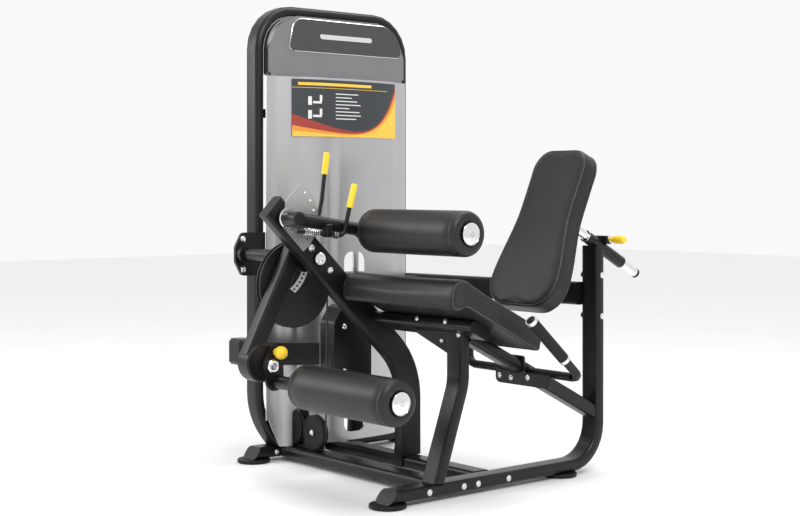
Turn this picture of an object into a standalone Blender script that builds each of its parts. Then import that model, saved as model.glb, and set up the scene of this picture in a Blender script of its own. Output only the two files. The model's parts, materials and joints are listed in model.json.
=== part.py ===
"""Selectorised leg extension machine, modelled in metres with +Z up.

Machine coordinates: x = 0 is the centre plane of the seat rail and grows away
from the weight tower, y grows from the foot end towards the backrest, z = 0 is
the floor. Every solid is built in machine coordinates and then moved by SHIFT,
which puts the object's origin at the middle of its footprint.
"""
import bpy
import bmesh
from math import cos, hypot, pi, radians, sin, tan
from mathutils import Matrix, Vector

# ---- driving dimensions (metres, degrees) ---------------------------------
SHIFT = Vector((0.3195, -0.3583, 0.0))   # machine coordinates -> object origin
GAP = 0.0003                             # clearance kept between touching solids

FOOT_THICK = 0.0120                      # rubber floor pucks
FOOT_RADIUS = 0.0570
TUBE_WIDE = 0.0760                       # main frame tube
TUBE_HIGH = 0.0400
TUBE_CORNER = 0.0140
FLOOR_Z = FOOT_THICK + GAP + TUBE_HIGH / 2   # centre height of the floor tubes
FLOOR_TOP = FLOOR_Z + TUBE_HIGH / 2

TOWER_X = -0.8500                        # plane of the tower loop
TOWER_FRONT_Y = -0.0030
TOWER_REAR_Y = 0.6460
TOWER_TOP = 1.5960
LOOP_WIDE = 0.0750
LOOP_THICK = 0.0350
LOOP_CORNER = 0.1400
TOWER_MID_Y = (TOWER_FRONT_Y + TOWER_REAR_Y) / 2

FRONT_BEAM_Y = 0.1150
REAR_BEAM_Y = 0.3130
POST_Y = 0.7980                          # rear post centre
POST_BEND = 0.1300

ARCH_X = -0.3995                         # centre plane of the arched frame
ARCH_THICK = 0.0470
ARCH_DEEP = 0.0860
ARCH_LEAN = 46.0                         # upper run, from the vertical
ARCH_BEND = 0.2500
ARCH_LINE = 0.4700                       # distance of the upper run from the origin
ARCH_END = 0.8050

KNEE = Vector((0.0, -0.0800, 0.7275))    # knee axis, parallel to X
SHAFT_RADIUS = 0.0210
CAM_RADIUS = 0.1420
CAM_OFFSET = 0.0885
CAM_X = (-0.5250, -0.5015)
LEVER_X = (-0.4950, -0.4450)
LEVER_TILT = 27.0
CRANK_AXIS = Vector((0.0, -0.2260, 0.3910))
ANKLE_AXIS = Vector((0.0, -0.2070, 0.3400))

HUB = Vector((0.0, -0.2129, 0.8590))     # thigh arm axis, parallel to X
THIGH_AXIS = Vector((0.0, 0.0640, 0.8170))
ARM_X = -0.3250
ARM_RADIUS = 0.0215
ROLLER_X = (-0.2870, 0.1800)
ROLLER_RADIUS = 0.0705
AXLE_RADIUS = 0.0125

SEAT_X = (-0.3500, 0.1800)
SEAT_TILT = 27.0
SEAT_THICK = 0.0710
SEAT_LENGTH = 0.3780
NOSE = Vector((0.0, 0.0370, 0.6390))
NOSE_RADIUS = 0.0450
NOSE_BOTTOM = 0.5910
CROSS_TUBE = Vector((0.0, 0.1760, 0.5170))
CROSS_TUBE_HIGH = 0.0360
CROSS_TUBE_WIDE = 0.0880
RAIL_DROP = 0.0062                       # incline rail's centre below the cross tube's
CROSS_TUBE_END = 0.1060

POST_TOP_Y = 0.1795                      # front post's upright part
PLATE_Y = 0.4300
HANDLE_BAR = (0.4600, 0.3630)
HANDLE_RADIUS = 0.0140
HANDLE_X = 0.2500
LEFT_HANDLE_X = -0.4200

BACK_X = -0.0530                         # centre plane of the backrest
BACK_TILT = 24.5
BACK_FOOT = Vector((0.0, 0.4720, 0.5650))
BACK_HEIGHT = 0.5820
BACK_THICK = 0.0700
SLIDE_START = Vector((0.0, 0.7630, 0.7910))
SLIDE_TILT = 28.0
SLEEVE_LENGTH = 0.2000
SLEEVE_RADIUS = 0.0205
SLIDE_RADIUS = 0.0160
SLIDE_LENGTH = 0.2900

GUIDE_ROD_RADIUS = 0.0125
GUIDE_ROD_SPREAD = 0.1200
CROSSHEAD_Z = (1.2000, 1.2300)
PLATE_PITCH = 0.0330
STACK_BOTTOM = 0.1500
RESTING_PLATES = 12
LIFTED_PLATES = 2
STACK_X = (-0.9050, -0.7950)
STACK_HALF_Y = 0.1700
HEAD_HIGH = 0.0320                       # lifting head above the top plate
STEM_RADIUS = 0.0110

SHROUD_Z = (0.0560, 1.3430)
SLOT_Y = (0.2940, 0.3880)
SLOT_Z = (0.0850, 0.7270)

FLOOR_PULLEY_RADIUS = 0.0600
FLOOR_PULLEY_X = (-0.6550, -0.7850)
FLOOR_PULLEY_Z = FLOOR_TOP + 0.0020 + FLOOR_PULLEY_RADIUS
CABLE_RADIUS = 0.0035
TOP_PULLEY_Z = 1.3400


# ---- scene and materials --------------------------------------------------
for old in list(bpy.data.objects):
    bpy.data.objects.remove(old, do_unlink=True)


def material(name, colour, roughness, metallic=0.0):
    made = bpy.data.materials.new(name)
    made.use_nodes = True
    shader = made.node_tree.nodes["Principled BSDF"]
    shader.inputs["Base Color"].default_value = (*colour, 1.0)
    shader.inputs["Roughness"].default_value = roughness
    shader.inputs["Metallic"].default_value = metallic
    return made


LOOKS = {
    "black_coat": ((0.020, 0.020, 0.022), 0.38, 0.0),
    "upholstery": ((0.016, 0.016, 0.018), 0.55, 0.0),
    "rubber": ((0.018, 0.018, 0.018), 0.70, 0.0),
    "silver_moulding": ((0.58, 0.58, 0.59), 0.35, 0.0),
    "chrome": ((0.80, 0.80, 0.81), 0.12, 1.0),
    "steel": ((0.55, 0.55, 0.56), 0.30, 1.0),
    "iron": ((0.050, 0.050, 0.055), 0.55, 0.3),
    "yellow": ((0.85, 0.60, 0.03), 0.40, 0.0),
    "cable": ((0.030, 0.030, 0.030), 0.50, 0.0),
}


# ---- shape helpers --------------------------------------------------------
def add_solid(name, mesh, look, origin=None, smooth=40.0):
    """Link a bmesh as an object whose origin is the given machine point."""
    pivot = Vector(origin) if origin is not None else Vector((0.0, 0.0, 0.0))
    bmesh.ops.recalc_face_normals(mesh, faces=mesh.faces[:])
    bmesh.ops.translate(mesh, verts=mesh.verts[:], vec=-pivot)
    data = bpy.data.meshes.new(name)
    mesh.to_mesh(data)
    mesh.free()
    data.shade_smooth()
    data.set_sharp_from_angle(angle=radians(smooth))
    made = bpy.data.objects.new(name, data)
    made.location = pivot + SHIFT
    bpy.context.scene.collection.objects.link(made)
    data.materials.append(material(name, *LOOKS[look]))
    return made


def cutter(name, mesh):
    made = add_solid(name, mesh, "steel")
    made.hide_render = True
    made.display_type = "WIRE"
    return made


def combine(target, other, operation):
    step = target.modifiers.new(operation.lower(), "BOOLEAN")
    step.operation = operation
    step.solver = "EXACT"
    step.object = other


def rounded_rectangle(wide, high, corner, steps=3):
    points = []
    for side_x, side_y, start in ((1, 1, 0), (-1, 1, 90), (-1, -1, 180), (1, -1, 270)):
        centre_x = side_x * (wide / 2 - corner)
        centre_y = side_y * (high / 2 - corner)
        for step in range(steps + 1):
            angle = radians(start + 90.0 * step / steps)
            points.append((centre_x + corner * cos(angle), centre_y + corner * sin(angle)))
    return points


def circle(radius, count=20):
    return [(radius * cos(2 * pi * i / count), radius * sin(2 * pi * i / count)) for i in range(count)]


def rounded_path(points, radii, steps=5):
    """Points of a polyline whose inner corners are arcs of the given radii."""
    path = [Vector(points[0])]
    for before, corner, after, radius in zip(points, points[1:], points[2:], radii):
        corner = Vector(corner)
        into = (corner - Vector(before)).normalized()
        out = (Vector(after) - corner).normalized()
        turn = into.angle(out)
        reach = radius * tan(turn / 2)
        start = corner - into * reach
        inward = (out - into * into.dot(out)).normalized()
        for step in range(steps + 1):
            angle = turn * step / steps
            path.append(start + into * radius * sin(angle) + inward * radius * (1 - cos(angle)))
    path.append(Vector(points[-1]))
    return path


def sweep(path, section, side, start_cut=None, end_cut=None):
    """Closed mesh of a section carried along a path that lies in one plane.

    The section's first axis is `side`, the normal of that plane. A cut is the
    normal of the plane that the tube's end lies in.
    """
    mesh = bmesh.new()
    side = Vector(side).normalized()
    rings = []
    last = len(path) - 1
    for index, point in enumerate(path):
        before = (point - path[index - 1]).normalized() if index > 0 else None
        after = (path[index + 1] - point).normalized() if index < last else None
        along = before if after is None else after
        plane = along
        if before is not None and after is not None:
            plane = (before + after).normalized()
        if index == 0 and start_cut is not None:
            plane = Vector(start_cut).normalized()
        if index == last and end_cut is not None:
            plane = Vector(end_cut).normalized()
        up = side.cross(along).normalized()
        ring = []
        for a, b in section:
            corner = point + side * a + up * b
            corner = corner - along * (plane.dot(corner - point) / plane.dot(along))
            ring.append(mesh.verts.new(corner))
        rings.append(ring)
    count = len(section)
    for lower, upper in zip(rings, rings[1:]):
        for i in range(count):
            j = (i + 1) % count
            mesh.faces.new((lower[i], lower[j], upper[j], upper[i]))
    mesh.faces.new(rings[0])
    mesh.faces.new(rings[-1])
    return mesh


def turned(profile, base, axis, count=24, closed=False):
    """Mesh of a profile of (distance along the axis, radius) turned about it."""
    mesh = bmesh.new()
    base = Vector(base)
    axis = Vector(axis).normalized()
    one = axis.orthogonal().normalized()
    two = axis.cross(one)
    rings = []
    for along, radius in profile:
        ring = []
        for i in range(count):
            angle = 2 * pi * i / count
            arm = one * cos(angle) + two * sin(angle)
            ring.append(mesh.verts.new(base + axis * along + arm * radius))
        rings.append(ring)
    pairs = list(zip(rings, rings[1:]))
    if closed:
        pairs.append((rings[-1], rings[0]))
    for lower, upper in pairs:
        for i in range(count):
            j = (i + 1) % count
            mesh.faces.new((lower[i], lower[j], upper[j], upper[i]))
    if not closed:
        mesh.faces.new(rings[0])
        mesh.faces.new(rings[-1])
    return mesh


def cylinder(base, axis, length, radius, bevel=0.0, count=24):
    profile = [(0.0, radius), (length, radius)]
    if bevel:
        profile = [(0.0, radius - bevel), (bevel, radius), (length - bevel, radius), (length, radius - bevel)]
    return turned(profile, base, axis, count)


def prism(outline, axis, low, high):
    """Mesh of a flat outline carried from low to high along X, Y or Z."""
    place = {
        "X": lambda a, b, c: (c, a, b),
        "Y": lambda a, b, c: (a, c, b),
        "Z": lambda a, b, c: (a, b, c),
    }[axis]
    mesh = bmesh.new()
    bottom = [mesh.verts.new(place(a, b, low)) for a, b in outline]
    top = [mesh.verts.new(place(a, b, high)) for a, b in outline]
    count = len(outline)
    for i in range(count):
        j = (i + 1) % count
        mesh.faces.new((bottom[i], bottom[j], top[j], top[i]))
    mesh.faces.new(bottom)
    mesh.faces.new(top)
    return mesh


def block(low, high, bevel=0.0):
    outline = [(low[0], low[1]), (high[0], low[1]), (high[0], high[1]), (low[0], high[1])]
    mesh = prism(outline, "Z", low[2], high[2])
    if bevel:
        bmesh.ops.bevel(mesh, geom=mesh.edges[:], offset=bevel, segments=1, affect="EDGES")
    return mesh


def rounded_outline(points, radii, steps=4):
    """Closed outline with every corner turned into an arc."""
    flat = [Vector((a, b, 0.0)) for a, b in points]
    count = len(flat)
    outline = []
    for i in range(count):
        before, corner, after = flat[i - 1], flat[i], flat[(i + 1) % count]
        arc = rounded_path([before, corner, after], [radii[i]], steps)[1:-1]
        outline.extend((p.x, p.y) for p in arc)
    return outline


def at(x, point):
    return Vector((x, point[1], point[2]))


MAIN_TUBE = rounded_rectangle(TUBE_WIDE, TUBE_HIGH, TUBE_CORNER)
X_AXIS = Vector((1.0, 0.0, 0.0))
Y_AXIS = Vector((0.0, 1.0, 0.0))
Z_AXIS = Vector((0.0, 0.0, 1.0))


# ---- floor frame and tower ------------------------------------------------
def tower_loop():
    top = TOWER_TOP - LOOP_THICK / 2
    knee_z = 0.1600
    toe = 0.0840
    foot = FLOOR_TOP + GAP
    points = [
        (TOWER_X, TOWER_FRONT_Y + toe, foot),
        (TOWER_X, TOWER_FRONT_Y, knee_z),
        (TOWER_X, TOWER_FRONT_Y, top),
        (TOWER_X, TOWER_REAR_Y, top),
        (TOWER_X, TOWER_REAR_Y, knee_z),
        (TOWER_X, TOWER_REAR_Y - toe, foot),
    ]
    path = rounded_path(points, [0.25, LOOP_CORNER, LOOP_CORNER, 0.25], 6)
    section = rounded_rectangle(LOOP_WIDE, LOOP_THICK, 0.0170, 4)
    add_solid("tower_loop", sweep(path, section, X_AXIS, Z_AXIS, Z_AXIS), "black_coat")


def tower_base():
    rake = Vector((0.0, -cos(radians(35)), sin(radians(35))))
    rear_rake = Vector((0.0, cos(radians(35)), sin(radians(35))))
    path = [Vector((TOWER_X, -0.0160, FLOOR_Z)), Vector((TOWER_X, 0.7050, FLOOR_Z))]
    mesh = sweep(path, MAIN_TUBE, X_AXIS, rake, rear_rake)
    add_solid("tower_base_tube", mesh, "black_coat")


def floor_beams():
    start = TOWER_X + TUBE_WIDE / 2 + GAP
    end = -TUBE_WIDE / 2 - GAP
    for name, y in (("front_floor_beam", FRONT_BEAM_Y), ("rear_floor_beam", REAR_BEAM_Y)):
        path = [Vector((start, y, FLOOR_Z)), Vector((end, y, FLOOR_Z))]
        add_solid(name, sweep(path, MAIN_TUBE, Y_AXIS), "black_coat")


def rail_and_post():
    slope = radians(SLIDE_TILT)
    top_z = SLIDE_START.z - (POST_Y - SLIDE_START.y) * tan(slope) - (SLEEVE_RADIUS + GAP) / cos(slope)
    points = [(0.0, -0.1100, FLOOR_Z), (0.0, POST_Y, FLOOR_Z), (0.0, POST_Y, top_z)]
    rake = Vector((0.0, -cos(radians(40)), sin(radians(40))))
    top_cut = Vector((0.0, sin(slope), cos(slope)))
    path = rounded_path(points, [POST_BEND], 8)
    add_solid("rail_and_post", sweep(path, MAIN_TUBE, X_AXIS, rake, top_cut), "black_coat")


def feet():
    places = {
        "foot_tower_front": (TOWER_X, -0.0080),
        "foot_tower_rear": (TOWER_X, 0.6700),
        "foot_rail_front": (0.0, -0.1040),
        "foot_rail_rear": (0.0, 0.6350),
    }
    for name, (x, y) in places.items():
        mesh = cylinder((x, y, 0.0), Z_AXIS, FOOT_THICK, FOOT_RADIUS, 0.002, 32)
        add_solid(name, mesh, "rubber")


def arched_frame():
    lean = radians(ARCH_LEAN)
    along = Vector((0.0, -sin(lean), cos(lean)))
    outward = Vector((0.0, cos(lean), sin(lean)))
    end = outward * ARCH_LINE + along * ARCH_END
    corner_z = (ARCH_LINE - cos(lean) * REAR_BEAM_Y) / sin(lean)
    points = [
        (ARCH_X, REAR_BEAM_Y, FLOOR_TOP + GAP),
        (ARCH_X, REAR_BEAM_Y, corner_z),
        (ARCH_X, end.y, end.z),
    ]
    path = rounded_path(points, [ARCH_BEND], 8)
    section = rounded_rectangle(ARCH_THICK, ARCH_DEEP, 0.010)
    frame = add_solid("arched_frame", sweep(path, section, X_AXIS), "black_coat")
    bore = cylinder(at(ARCH_X - 0.04, KNEE), X_AXIS, 0.08, SHAFT_RADIUS + GAP)
    combine(frame, cutter("arched_frame_bore", bore), "DIFFERENCE")
    front = REAR_BEAM_Y - ARCH_DEEP / 2
    lip_half = 0.0200
    beam_face = REAR_BEAM_Y - TUBE_WIDE / 2 - GAP
    lip = block((ARCH_X - lip_half, front, 0.0160), (ARCH_X + lip_half, beam_face, 0.0800))
    combine(frame, cutter("arched_frame_lip", lip), "UNION")


def seat_frame():
    tilt = radians(SEAT_TILT)
    back = Vector((0.0, cos(tilt), -sin(tilt)))
    up = Vector((0.0, sin(tilt), cos(tilt)))
    start = ARCH_X + ARCH_THICK / 2 + GAP
    path = [at(start, CROSS_TUBE), at(CROSS_TUBE_END, CROSS_TUBE)]
    section = rounded_rectangle(CROSS_TUBE_WIDE, CROSS_TUBE_HIGH, 0.012)
    mesh = sweep(path, section, back)
    add_solid("seat_cross_tube", mesh, "black_coat")

    underside = CROSS_TUBE - up * (CROSS_TUBE_HIGH / 2 + GAP)

    def underside_z(y):
        return underside.z - (y - underside.y) * tan(tilt)

    points = [
        (0.0, 0.0760, FLOOR_TOP + GAP),
        (0.0, POST_TOP_Y, 0.3450),
        (0.0, POST_TOP_Y, underside_z(POST_TOP_Y)),
    ]
    path = rounded_path(points, [0.16], 6)
    post = add_solid("front_post", sweep(path, MAIN_TUBE, X_AXIS, Z_AXIS, up), "black_coat")
    rear_y = POST_TOP_Y - TUBE_HIGH / 2 + 0.008
    front_y = rear_y - 0.006
    top = underside_z(rear_y) - GAP
    gusset = [(-0.030, top), (-0.186, top), (-0.186, top - 0.006), (-0.030, top - 0.062)]
    combine(post, cutter("front_post_gusset", prism(gusset, "Y", front_y, rear_y)), "UNION")

    rail_centre = CROSS_TUBE - up * RAIL_DROP
    rail_start = rail_centre + back * (CROSS_TUBE_WIDE / 2 + GAP)

    def rail_point(y):
        return rail_start + back * ((y - rail_start.y) / back.y)

    section = rounded_rectangle(0.0600, TUBE_HIGH, 0.012)
    mesh = sweep([rail_start, rail_point(PLATE_Y - GAP)], section, X_AXIS, None, Y_AXIS)
    add_solid("seat_incline_rail", mesh, "black_coat")

    outline = rounded_outline(
        [(-0.092, 0.3200), (0.150, 0.3200), (0.150, 0.3620), (0.036, 0.3620),
         (0.036, 0.4150), (-0.036, 0.4150), (-0.036, 0.3620), (-0.092, 0.3620)],
        [0.018, 0.008, 0.006, 0.006, 0.010, 0.010, 0.006, 0.006])
    plate_back = PLATE_Y + 0.008
    add_solid("handle_mount_plate", prism(outline, "Y", PLATE_Y, plate_back), "black_coat")

    path = [rail_point(plate_back + GAP), rail_point(POST_Y - TUBE_HIGH / 2 - GAP)]
    mesh = sweep(path, rounded_rectangle(0.0600, 0.0460, 0.012), X_AXIS, Y_AXIS, Y_AXIS)
    stub = add_solid("seat_stub_tube", mesh, "black_coat")
    hole = cylinder((-0.05, HANDLE_BAR[0], HANDLE_BAR[1]), X_AXIS, 0.1, HANDLE_RADIUS + GAP, count=20)
    combine(stub, cutter("handle_bar_hole", hole), "DIFFERENCE")


def rear_upper_beam():
    start = Vector((TOWER_X + LOOP_WIDE / 2 + GAP, 0.6640, 0.5960))
    end = Vector((-TUBE_WIDE / 2 - GAP, 0.7750, 0.5960))
    section = rounded_rectangle(0.0400, 0.0780, 0.012)
    flat = (end - start).normalized()
    mesh = sweep([start, end], section, Z_AXIS.cross(flat), X_AXIS, X_AXIS)
    add_solid("rear_upper_beam", mesh, "black_coat")


def knee_bearing():
    """Rhombic flange with a bearing boss, on the tower's front leg."""
    face = TOWER_X + LOOP_WIDE / 2 + GAP
    y, z = KNEE.y, KNEE.z
    outline = rounded_outline(
        [(y - 0.036, z - 0.026), (y - 0.010, z - 0.074), (0.0060, z - 0.074),
         (0.0060, z + 0.074), (y - 0.010, z + 0.074), (y - 0.036, z + 0.026)],
        [0.020, 0.016, 0.004, 0.004, 0.016, 0.020], 3)
    flange = add_solid("knee_bearing_flange", prism(outline, "X", face, face + 0.012), "black_coat")
    boss = cylinder(at(face + 0.004, KNEE), X_AXIS, 0.030, 0.034)
    combine(flange, cutter("knee_bearing_boss", boss), "UNION")
    bore = cylinder(at(face - 0.01, KNEE), X_AXIS, 0.08, SHAFT_RADIUS + GAP)
    combine(flange, cutter("knee_bearing_bore", bore), "DIFFERENCE")


# ---- tower covers ---------------------------------------------------------
def head_cover():
    inner = LOOP_THICK / 2 + GAP
    low_y, high_y = TOWER_FRONT_Y + inner, TOWER_REAR_Y - inner
    top = TOWER_TOP - LOOP_THICK - GAP
    corner = LOOP_CORNER - LOOP_THICK / 2 - GAP
    outline = rounded_outline(
        [(low_y, 1.3450), (high_y, 1.3450), (high_y, top), (low_y, top)],
        [0.012, 0.012, corner, corner], 6)
    mesh = prism(outline, "X", -0.8240, -0.7950)
    front = [e for e in mesh.edges if all(v.co.x > -0.796 for v in e.verts)]
    bmesh.ops.bevel(mesh, geom=front, offset=0.010, segments=2, affect="EDGES")
    add_solid("head_cover", mesh, "silver_moulding")


def shroud_depth(y):
    """How far the front shroud stands out at y: flat cheeks and a raised middle."""
    middle = (SLOT_Y[0] + SLOT_Y[1]) / 2
    bulge = 0.060 * (1 - min(1.0, abs(y - middle) / 0.300) ** 3)
    flute = sum(0.006 * cos(min(1.0, abs(y - c) / 0.030) * pi / 2) for c in (0.115, 0.235, 0.560))
    return bulge - flute


def front_shroud():
    low_y, high_y = TOWER_FRONT_Y + 0.0040, TOWER_REAR_Y - 0.0280
    steps = 28
    ys = [low_y + (high_y - low_y) * i / steps for i in range(steps + 1)]
    back = -0.7900
    outer = [(back + 0.004 + shroud_depth(y), y) for y in ys]
    inner = [(back + shroud_depth(y), y) for y in reversed(ys)]
    shroud = add_solid("front_shroud", prism(outer + inner, "Z", *SHROUD_Z), "silver_moulding")
    slot = rounded_outline(
        [(SLOT_Y[0], SLOT_Z[0]), (SLOT_Y[1], SLOT_Z[0]), (SLOT_Y[1], SLOT_Z[1]), (SLOT_Y[0], SLOT_Z[1])],
        [0.030, 0.030, 0.030, 0.030])
    combine(shroud, cutter("selector_slot", prism(slot, "X", -0.90, -0.60)), "DIFFERENCE")
    notch = rounded_outline([(0.094, 0.0), (0.152, 0.0), (0.152, 0.186), (0.094, 0.186)],
                             [0.002, 0.002, 0.020, 0.020])
    combine(shroud, cutter("pulley_notch", prism(notch, "X", -0.90, -0.60)), "DIFFERENCE")
    foot_corner = [(-0.10, 0.0), (0.075, 0.0), (0.012, 0.150), (-0.10, 0.150)]
    combine(shroud, cutter("shroud_foot_corner", prism(foot_corner, "X", -0.90, -0.60)), "DIFFERENCE")


# ---- weight stack ---------------------------------------------------------
def stack_outline(low, high, plates):
    """Side outline of a pile of plates with a groove at each joint."""
    groove = 0.003
    pitch = (high - low) / plates
    right = []
    for i in range(plates):
        base = low + i * pitch
        if i:
            right.append((STACK_X[1] - groove, base + 0.001))
            right.append((STACK_X[1], base + 0.003))
        else:
            right.append((STACK_X[1], base))
        if i < plates - 1:
            right.append((STACK_X[1], base + pitch - 0.003))
            right.append((STACK_X[1] - groove, base + pitch - 0.001))
        else:
            right.append((STACK_X[1], base + pitch))
    middle = (STACK_X[0] + STACK_X[1]) / 2
    left = [(2 * middle - x, z) for x, z in reversed(right)]
    return right + left


def rod_places():
    return (TOWER_MID_Y - GUIDE_ROD_SPREAD, TOWER_MID_Y + GUIDE_ROD_SPREAD)


def bored_plates(name, low, high, plates, stem_hole=True):
    outline = stack_outline(low, high, plates)
    mesh = prism(outline, "Y", TOWER_MID_Y - STACK_HALF_Y, TOWER_MID_Y + STACK_HALF_Y)
    bore_start = low - 0.05
    bore_length = high - low + 0.1
    pile = add_solid(name, mesh, "iron")
    for i, y in enumerate(rod_places()):
        hole = cylinder((TOWER_X, y, bore_start), Z_AXIS, bore_length, GUIDE_ROD_RADIUS + 0.0015, count=16)
        combine(pile, cutter(f"{name}_hole_{i}", hole), "DIFFERENCE")
    if stem_hole:
        middle = (TOWER_X, TOWER_MID_Y, bore_start)
        hole = cylinder(middle, Z_AXIS, bore_length, STEM_RADIUS + 0.002, count=16)
        combine(pile, cutter(f"{name}_stem_hole", hole), "DIFFERENCE")
    return pile


STACK_TOP = STACK_BOTTOM + (RESTING_PLATES + LIFTED_PLATES) * PLATE_PITCH
LIFT_BASE = STACK_BOTTOM + RESTING_PLATES * PLATE_PITCH


def weight_stack():
    bored_plates("resting_plates", STACK_BOTTOM, LIFT_BASE - GAP, RESTING_PLATES)
    bored_plates("lifted_plates", LIFT_BASE, STACK_TOP - GAP, LIFTED_PLATES)
    head = bored_plates("lifting_head", STACK_TOP, STACK_TOP + HEAD_HIGH, 1, stem_hole=False)
    stem = cylinder((TOWER_X, TOWER_MID_Y, STACK_BOTTOM + 0.02), Z_AXIS, STACK_TOP + 0.03 - STACK_BOTTOM,
                    STEM_RADIUS, count=16)
    combine(head, cutter("lifting_stem", stem), "UNION")
    for name, y in zip(("stack_bumper_front", "stack_bumper_rear"), rod_places()):
        low = FLOOR_TOP + GAP
        high = STACK_BOTTOM - GAP
        inner = GUIDE_ROD_RADIUS + GAP
        profile = [(0.0, inner), (high - low, inner), (high - low, 0.027), (0.0, 0.031)]
        add_solid(name, turned(profile, (TOWER_X, y, low), Z_AXIS, closed=True), "rubber")
    for name, y in zip(("guide_rod_front", "guide_rod_rear"), rod_places()):
        low = FLOOR_TOP + GAP
        mesh = cylinder((TOWER_X, y, low), Z_AXIS, CROSSHEAD_Z[0] - GAP - low, GUIDE_ROD_RADIUS, 0.001)
        add_solid(name, mesh, "chrome")
    inner = LOOP_THICK / 2 + GAP
    mesh = block((TOWER_X - 0.022, TOWER_FRONT_Y + inner, CROSSHEAD_Z[0]),
                 (TOWER_X + 0.022, TOWER_REAR_Y - inner, CROSSHEAD_Z[1]), 0.003)
    add_solid("guide_rod_crosshead", mesh, "black_coat")


def selector():
    z = LIFT_BASE + PLATE_PITCH / 2
    hole = cylinder((STACK_X[1] - 0.030, TOWER_MID_Y, z), X_AXIS, 0.08, 0.0058, count=12)
    combine(bpy.data.objects["lifted_plates"], cutter("selector_hole", hole), "DIFFERENCE")
    base = STACK_X[1] - 0.029
    profile = [(0.0, 0.004), (0.002, 0.005), (0.0325, 0.005), (0.033, 0.010), (0.036, 0.013),
               (0.062, 0.013), (0.066, 0.010)]
    add_solid("selector_pin", turned(profile, (base, TOWER_MID_Y, z), X_AXIS, 16), "yellow")
    top = 0.7560
    low = z + 0.0135
    x = base + 0.050
    mesh = cylinder((x, TOWER_MID_Y, low), Z_AXIS, top - low, 0.0055, 0.001, 12)
    add_solid("selector_lanyard", mesh, "cable", (x, TOWER_MID_Y, top))


# ---- cable and pulleys ----------------------------------------------------
def grooved_wheel(base, axis, radius, thick, bore, count=28):
    half = thick / 2
    profile = [(-half, bore), (-half, radius - 0.003), (-half + 0.003, radius), (-0.005, radius),
               (0.0, radius - 0.006), (0.005, radius), (half - 0.003, radius), (half, radius - 0.003),
               (half, bore)]
    return turned(profile, base, axis, count, closed=True)


def pulleys():
    for name, x in zip(("floor_pulley_outer", "floor_pulley_inner"), FLOOR_PULLEY_X):
        centre = Vector((x, FRONT_BEAM_Y, FLOOR_PULLEY_Z))
        add_solid(name, grooved_wheel(centre, Y_AXIS, FLOOR_PULLEY_RADIUS, 0.024, 0.0083), "rubber", centre)
    outer, inner = FLOOR_PULLEY_X
    top = FLOOR_PULLEY_Z + 0.018
    outline = rounded_outline(
        [(inner - 0.030, FLOOR_TOP + GAP), (outer + 0.030, FLOOR_TOP + GAP),
         (outer + 0.022, top), (inner - 0.022, top)],
        [0.002, 0.002, 0.012, 0.012], 3)
    plate = FRONT_BEAM_Y + 0.0135
    bracket = add_solid("floor_pulley_bracket", prism(outline, "Y", plate, plate + 0.006), "steel")
    for i, x in enumerate(FLOOR_PULLEY_X):
        centre = Vector((x, FRONT_BEAM_Y, FLOOR_PULLEY_Z))
        axle = cylinder(centre - Y_AXIS * 0.017, Y_AXIS, 0.034, 0.0080, count=16)
        combine(bracket, cutter(f"floor_pulley_axle_{i}", axle), "UNION")
    radius = (TOWER_MID_Y - FRONT_BEAM_Y) / 2
    centre = Vector((TOWER_X, FRONT_BEAM_Y + radius, TOP_PULLEY_Z))
    mesh = grooved_wheel(centre, X_AXIS, radius - GAP, 0.022, 0.0083, 36)
    add_solid("top_pulley", mesh, "rubber", centre)
    crosshead = bpy.data.objects["guide_rod_crosshead"]
    hanger = block((TOWER_X - 0.020, centre.y - 0.014, CROSSHEAD_Z[0] + 0.010),
                   (TOWER_X - 0.014, centre.y + 0.014, centre.z + 0.016))
    combine(crosshead, cutter("top_pulley_hanger", hanger), "UNION")
    axle = cylinder(centre - X_AXIS * 0.018, X_AXIS, 0.034, 0.0080, count=16)
    combine(crosshead, cutter("top_pulley_axle", axle), "UNION")
    for i, y in enumerate((FRONT_BEAM_Y, TOWER_MID_Y)):
        hole = cylinder((TOWER_X, y, CROSSHEAD_Z[0] - 0.05), Z_AXIS, 0.15, 0.009, count=16)
        combine(crosshead, cutter(f"crosshead_hole_{i}", hole), "DIFFERENCE")


def cables():
    start = STACK_TOP + 0.0530
    mesh = cylinder((TOWER_X, TOWER_MID_Y, start), Z_AXIS, TOP_PULLEY_Z - start, CABLE_RADIUS, count=10)
    add_solid("lift_cable", mesh, "cable", (TOWER_X, TOWER_MID_Y, TOP_PULLEY_Z))


# ---- leg lever ------------------------------------------------------------
def knee_shaft():
    start = TOWER_X + LOOP_WIDE / 2 + 0.002
    mesh = cylinder(at(start, KNEE), X_AXIS, -0.3680 - start, SHAFT_RADIUS, 0.0015, 28)
    add_solid("knee_shaft", mesh, "steel", at(ARCH_X, KNEE))


def cam():
    centre = KNEE - Z_AXIS * CAM_OFFSET
    mid = (CAM_X[0] + CAM_X[1]) / 2
    half = (CAM_X[1] - CAM_X[0]) / 2
    profile = [(-half, CAM_RADIUS - 0.002), (-half + 0.002, CAM_RADIUS), (-0.007, CAM_RADIUS),
               (-0.005, CAM_RADIUS - 0.008), (0.005, CAM_RADIUS - 0.008), (0.007, CAM_RADIUS),
               (half - 0.002, CAM_RADIUS), (half, CAM_RADIUS - 0.002)]
    disc = add_solid("cam_disc", turned(profile, at(mid, centre), X_AXIS, 48), "iron", at(mid, KNEE))
    bore = cylinder(at(mid - 0.03, KNEE), X_AXIS, 0.06, SHAFT_RADIUS + GAP)
    combine(disc, cutter("cam_bore", bore), "DIFFERENCE")


def lever_line(z):
    """y of the lever tube's centre line at height z."""
    return KNEE.y - 0.0450 - (KNEE.z - z) * tan(radians(LEVER_TILT))


BLOCK_CENTRE = Vector((0.0, -0.2480, 0.4020))


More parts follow.
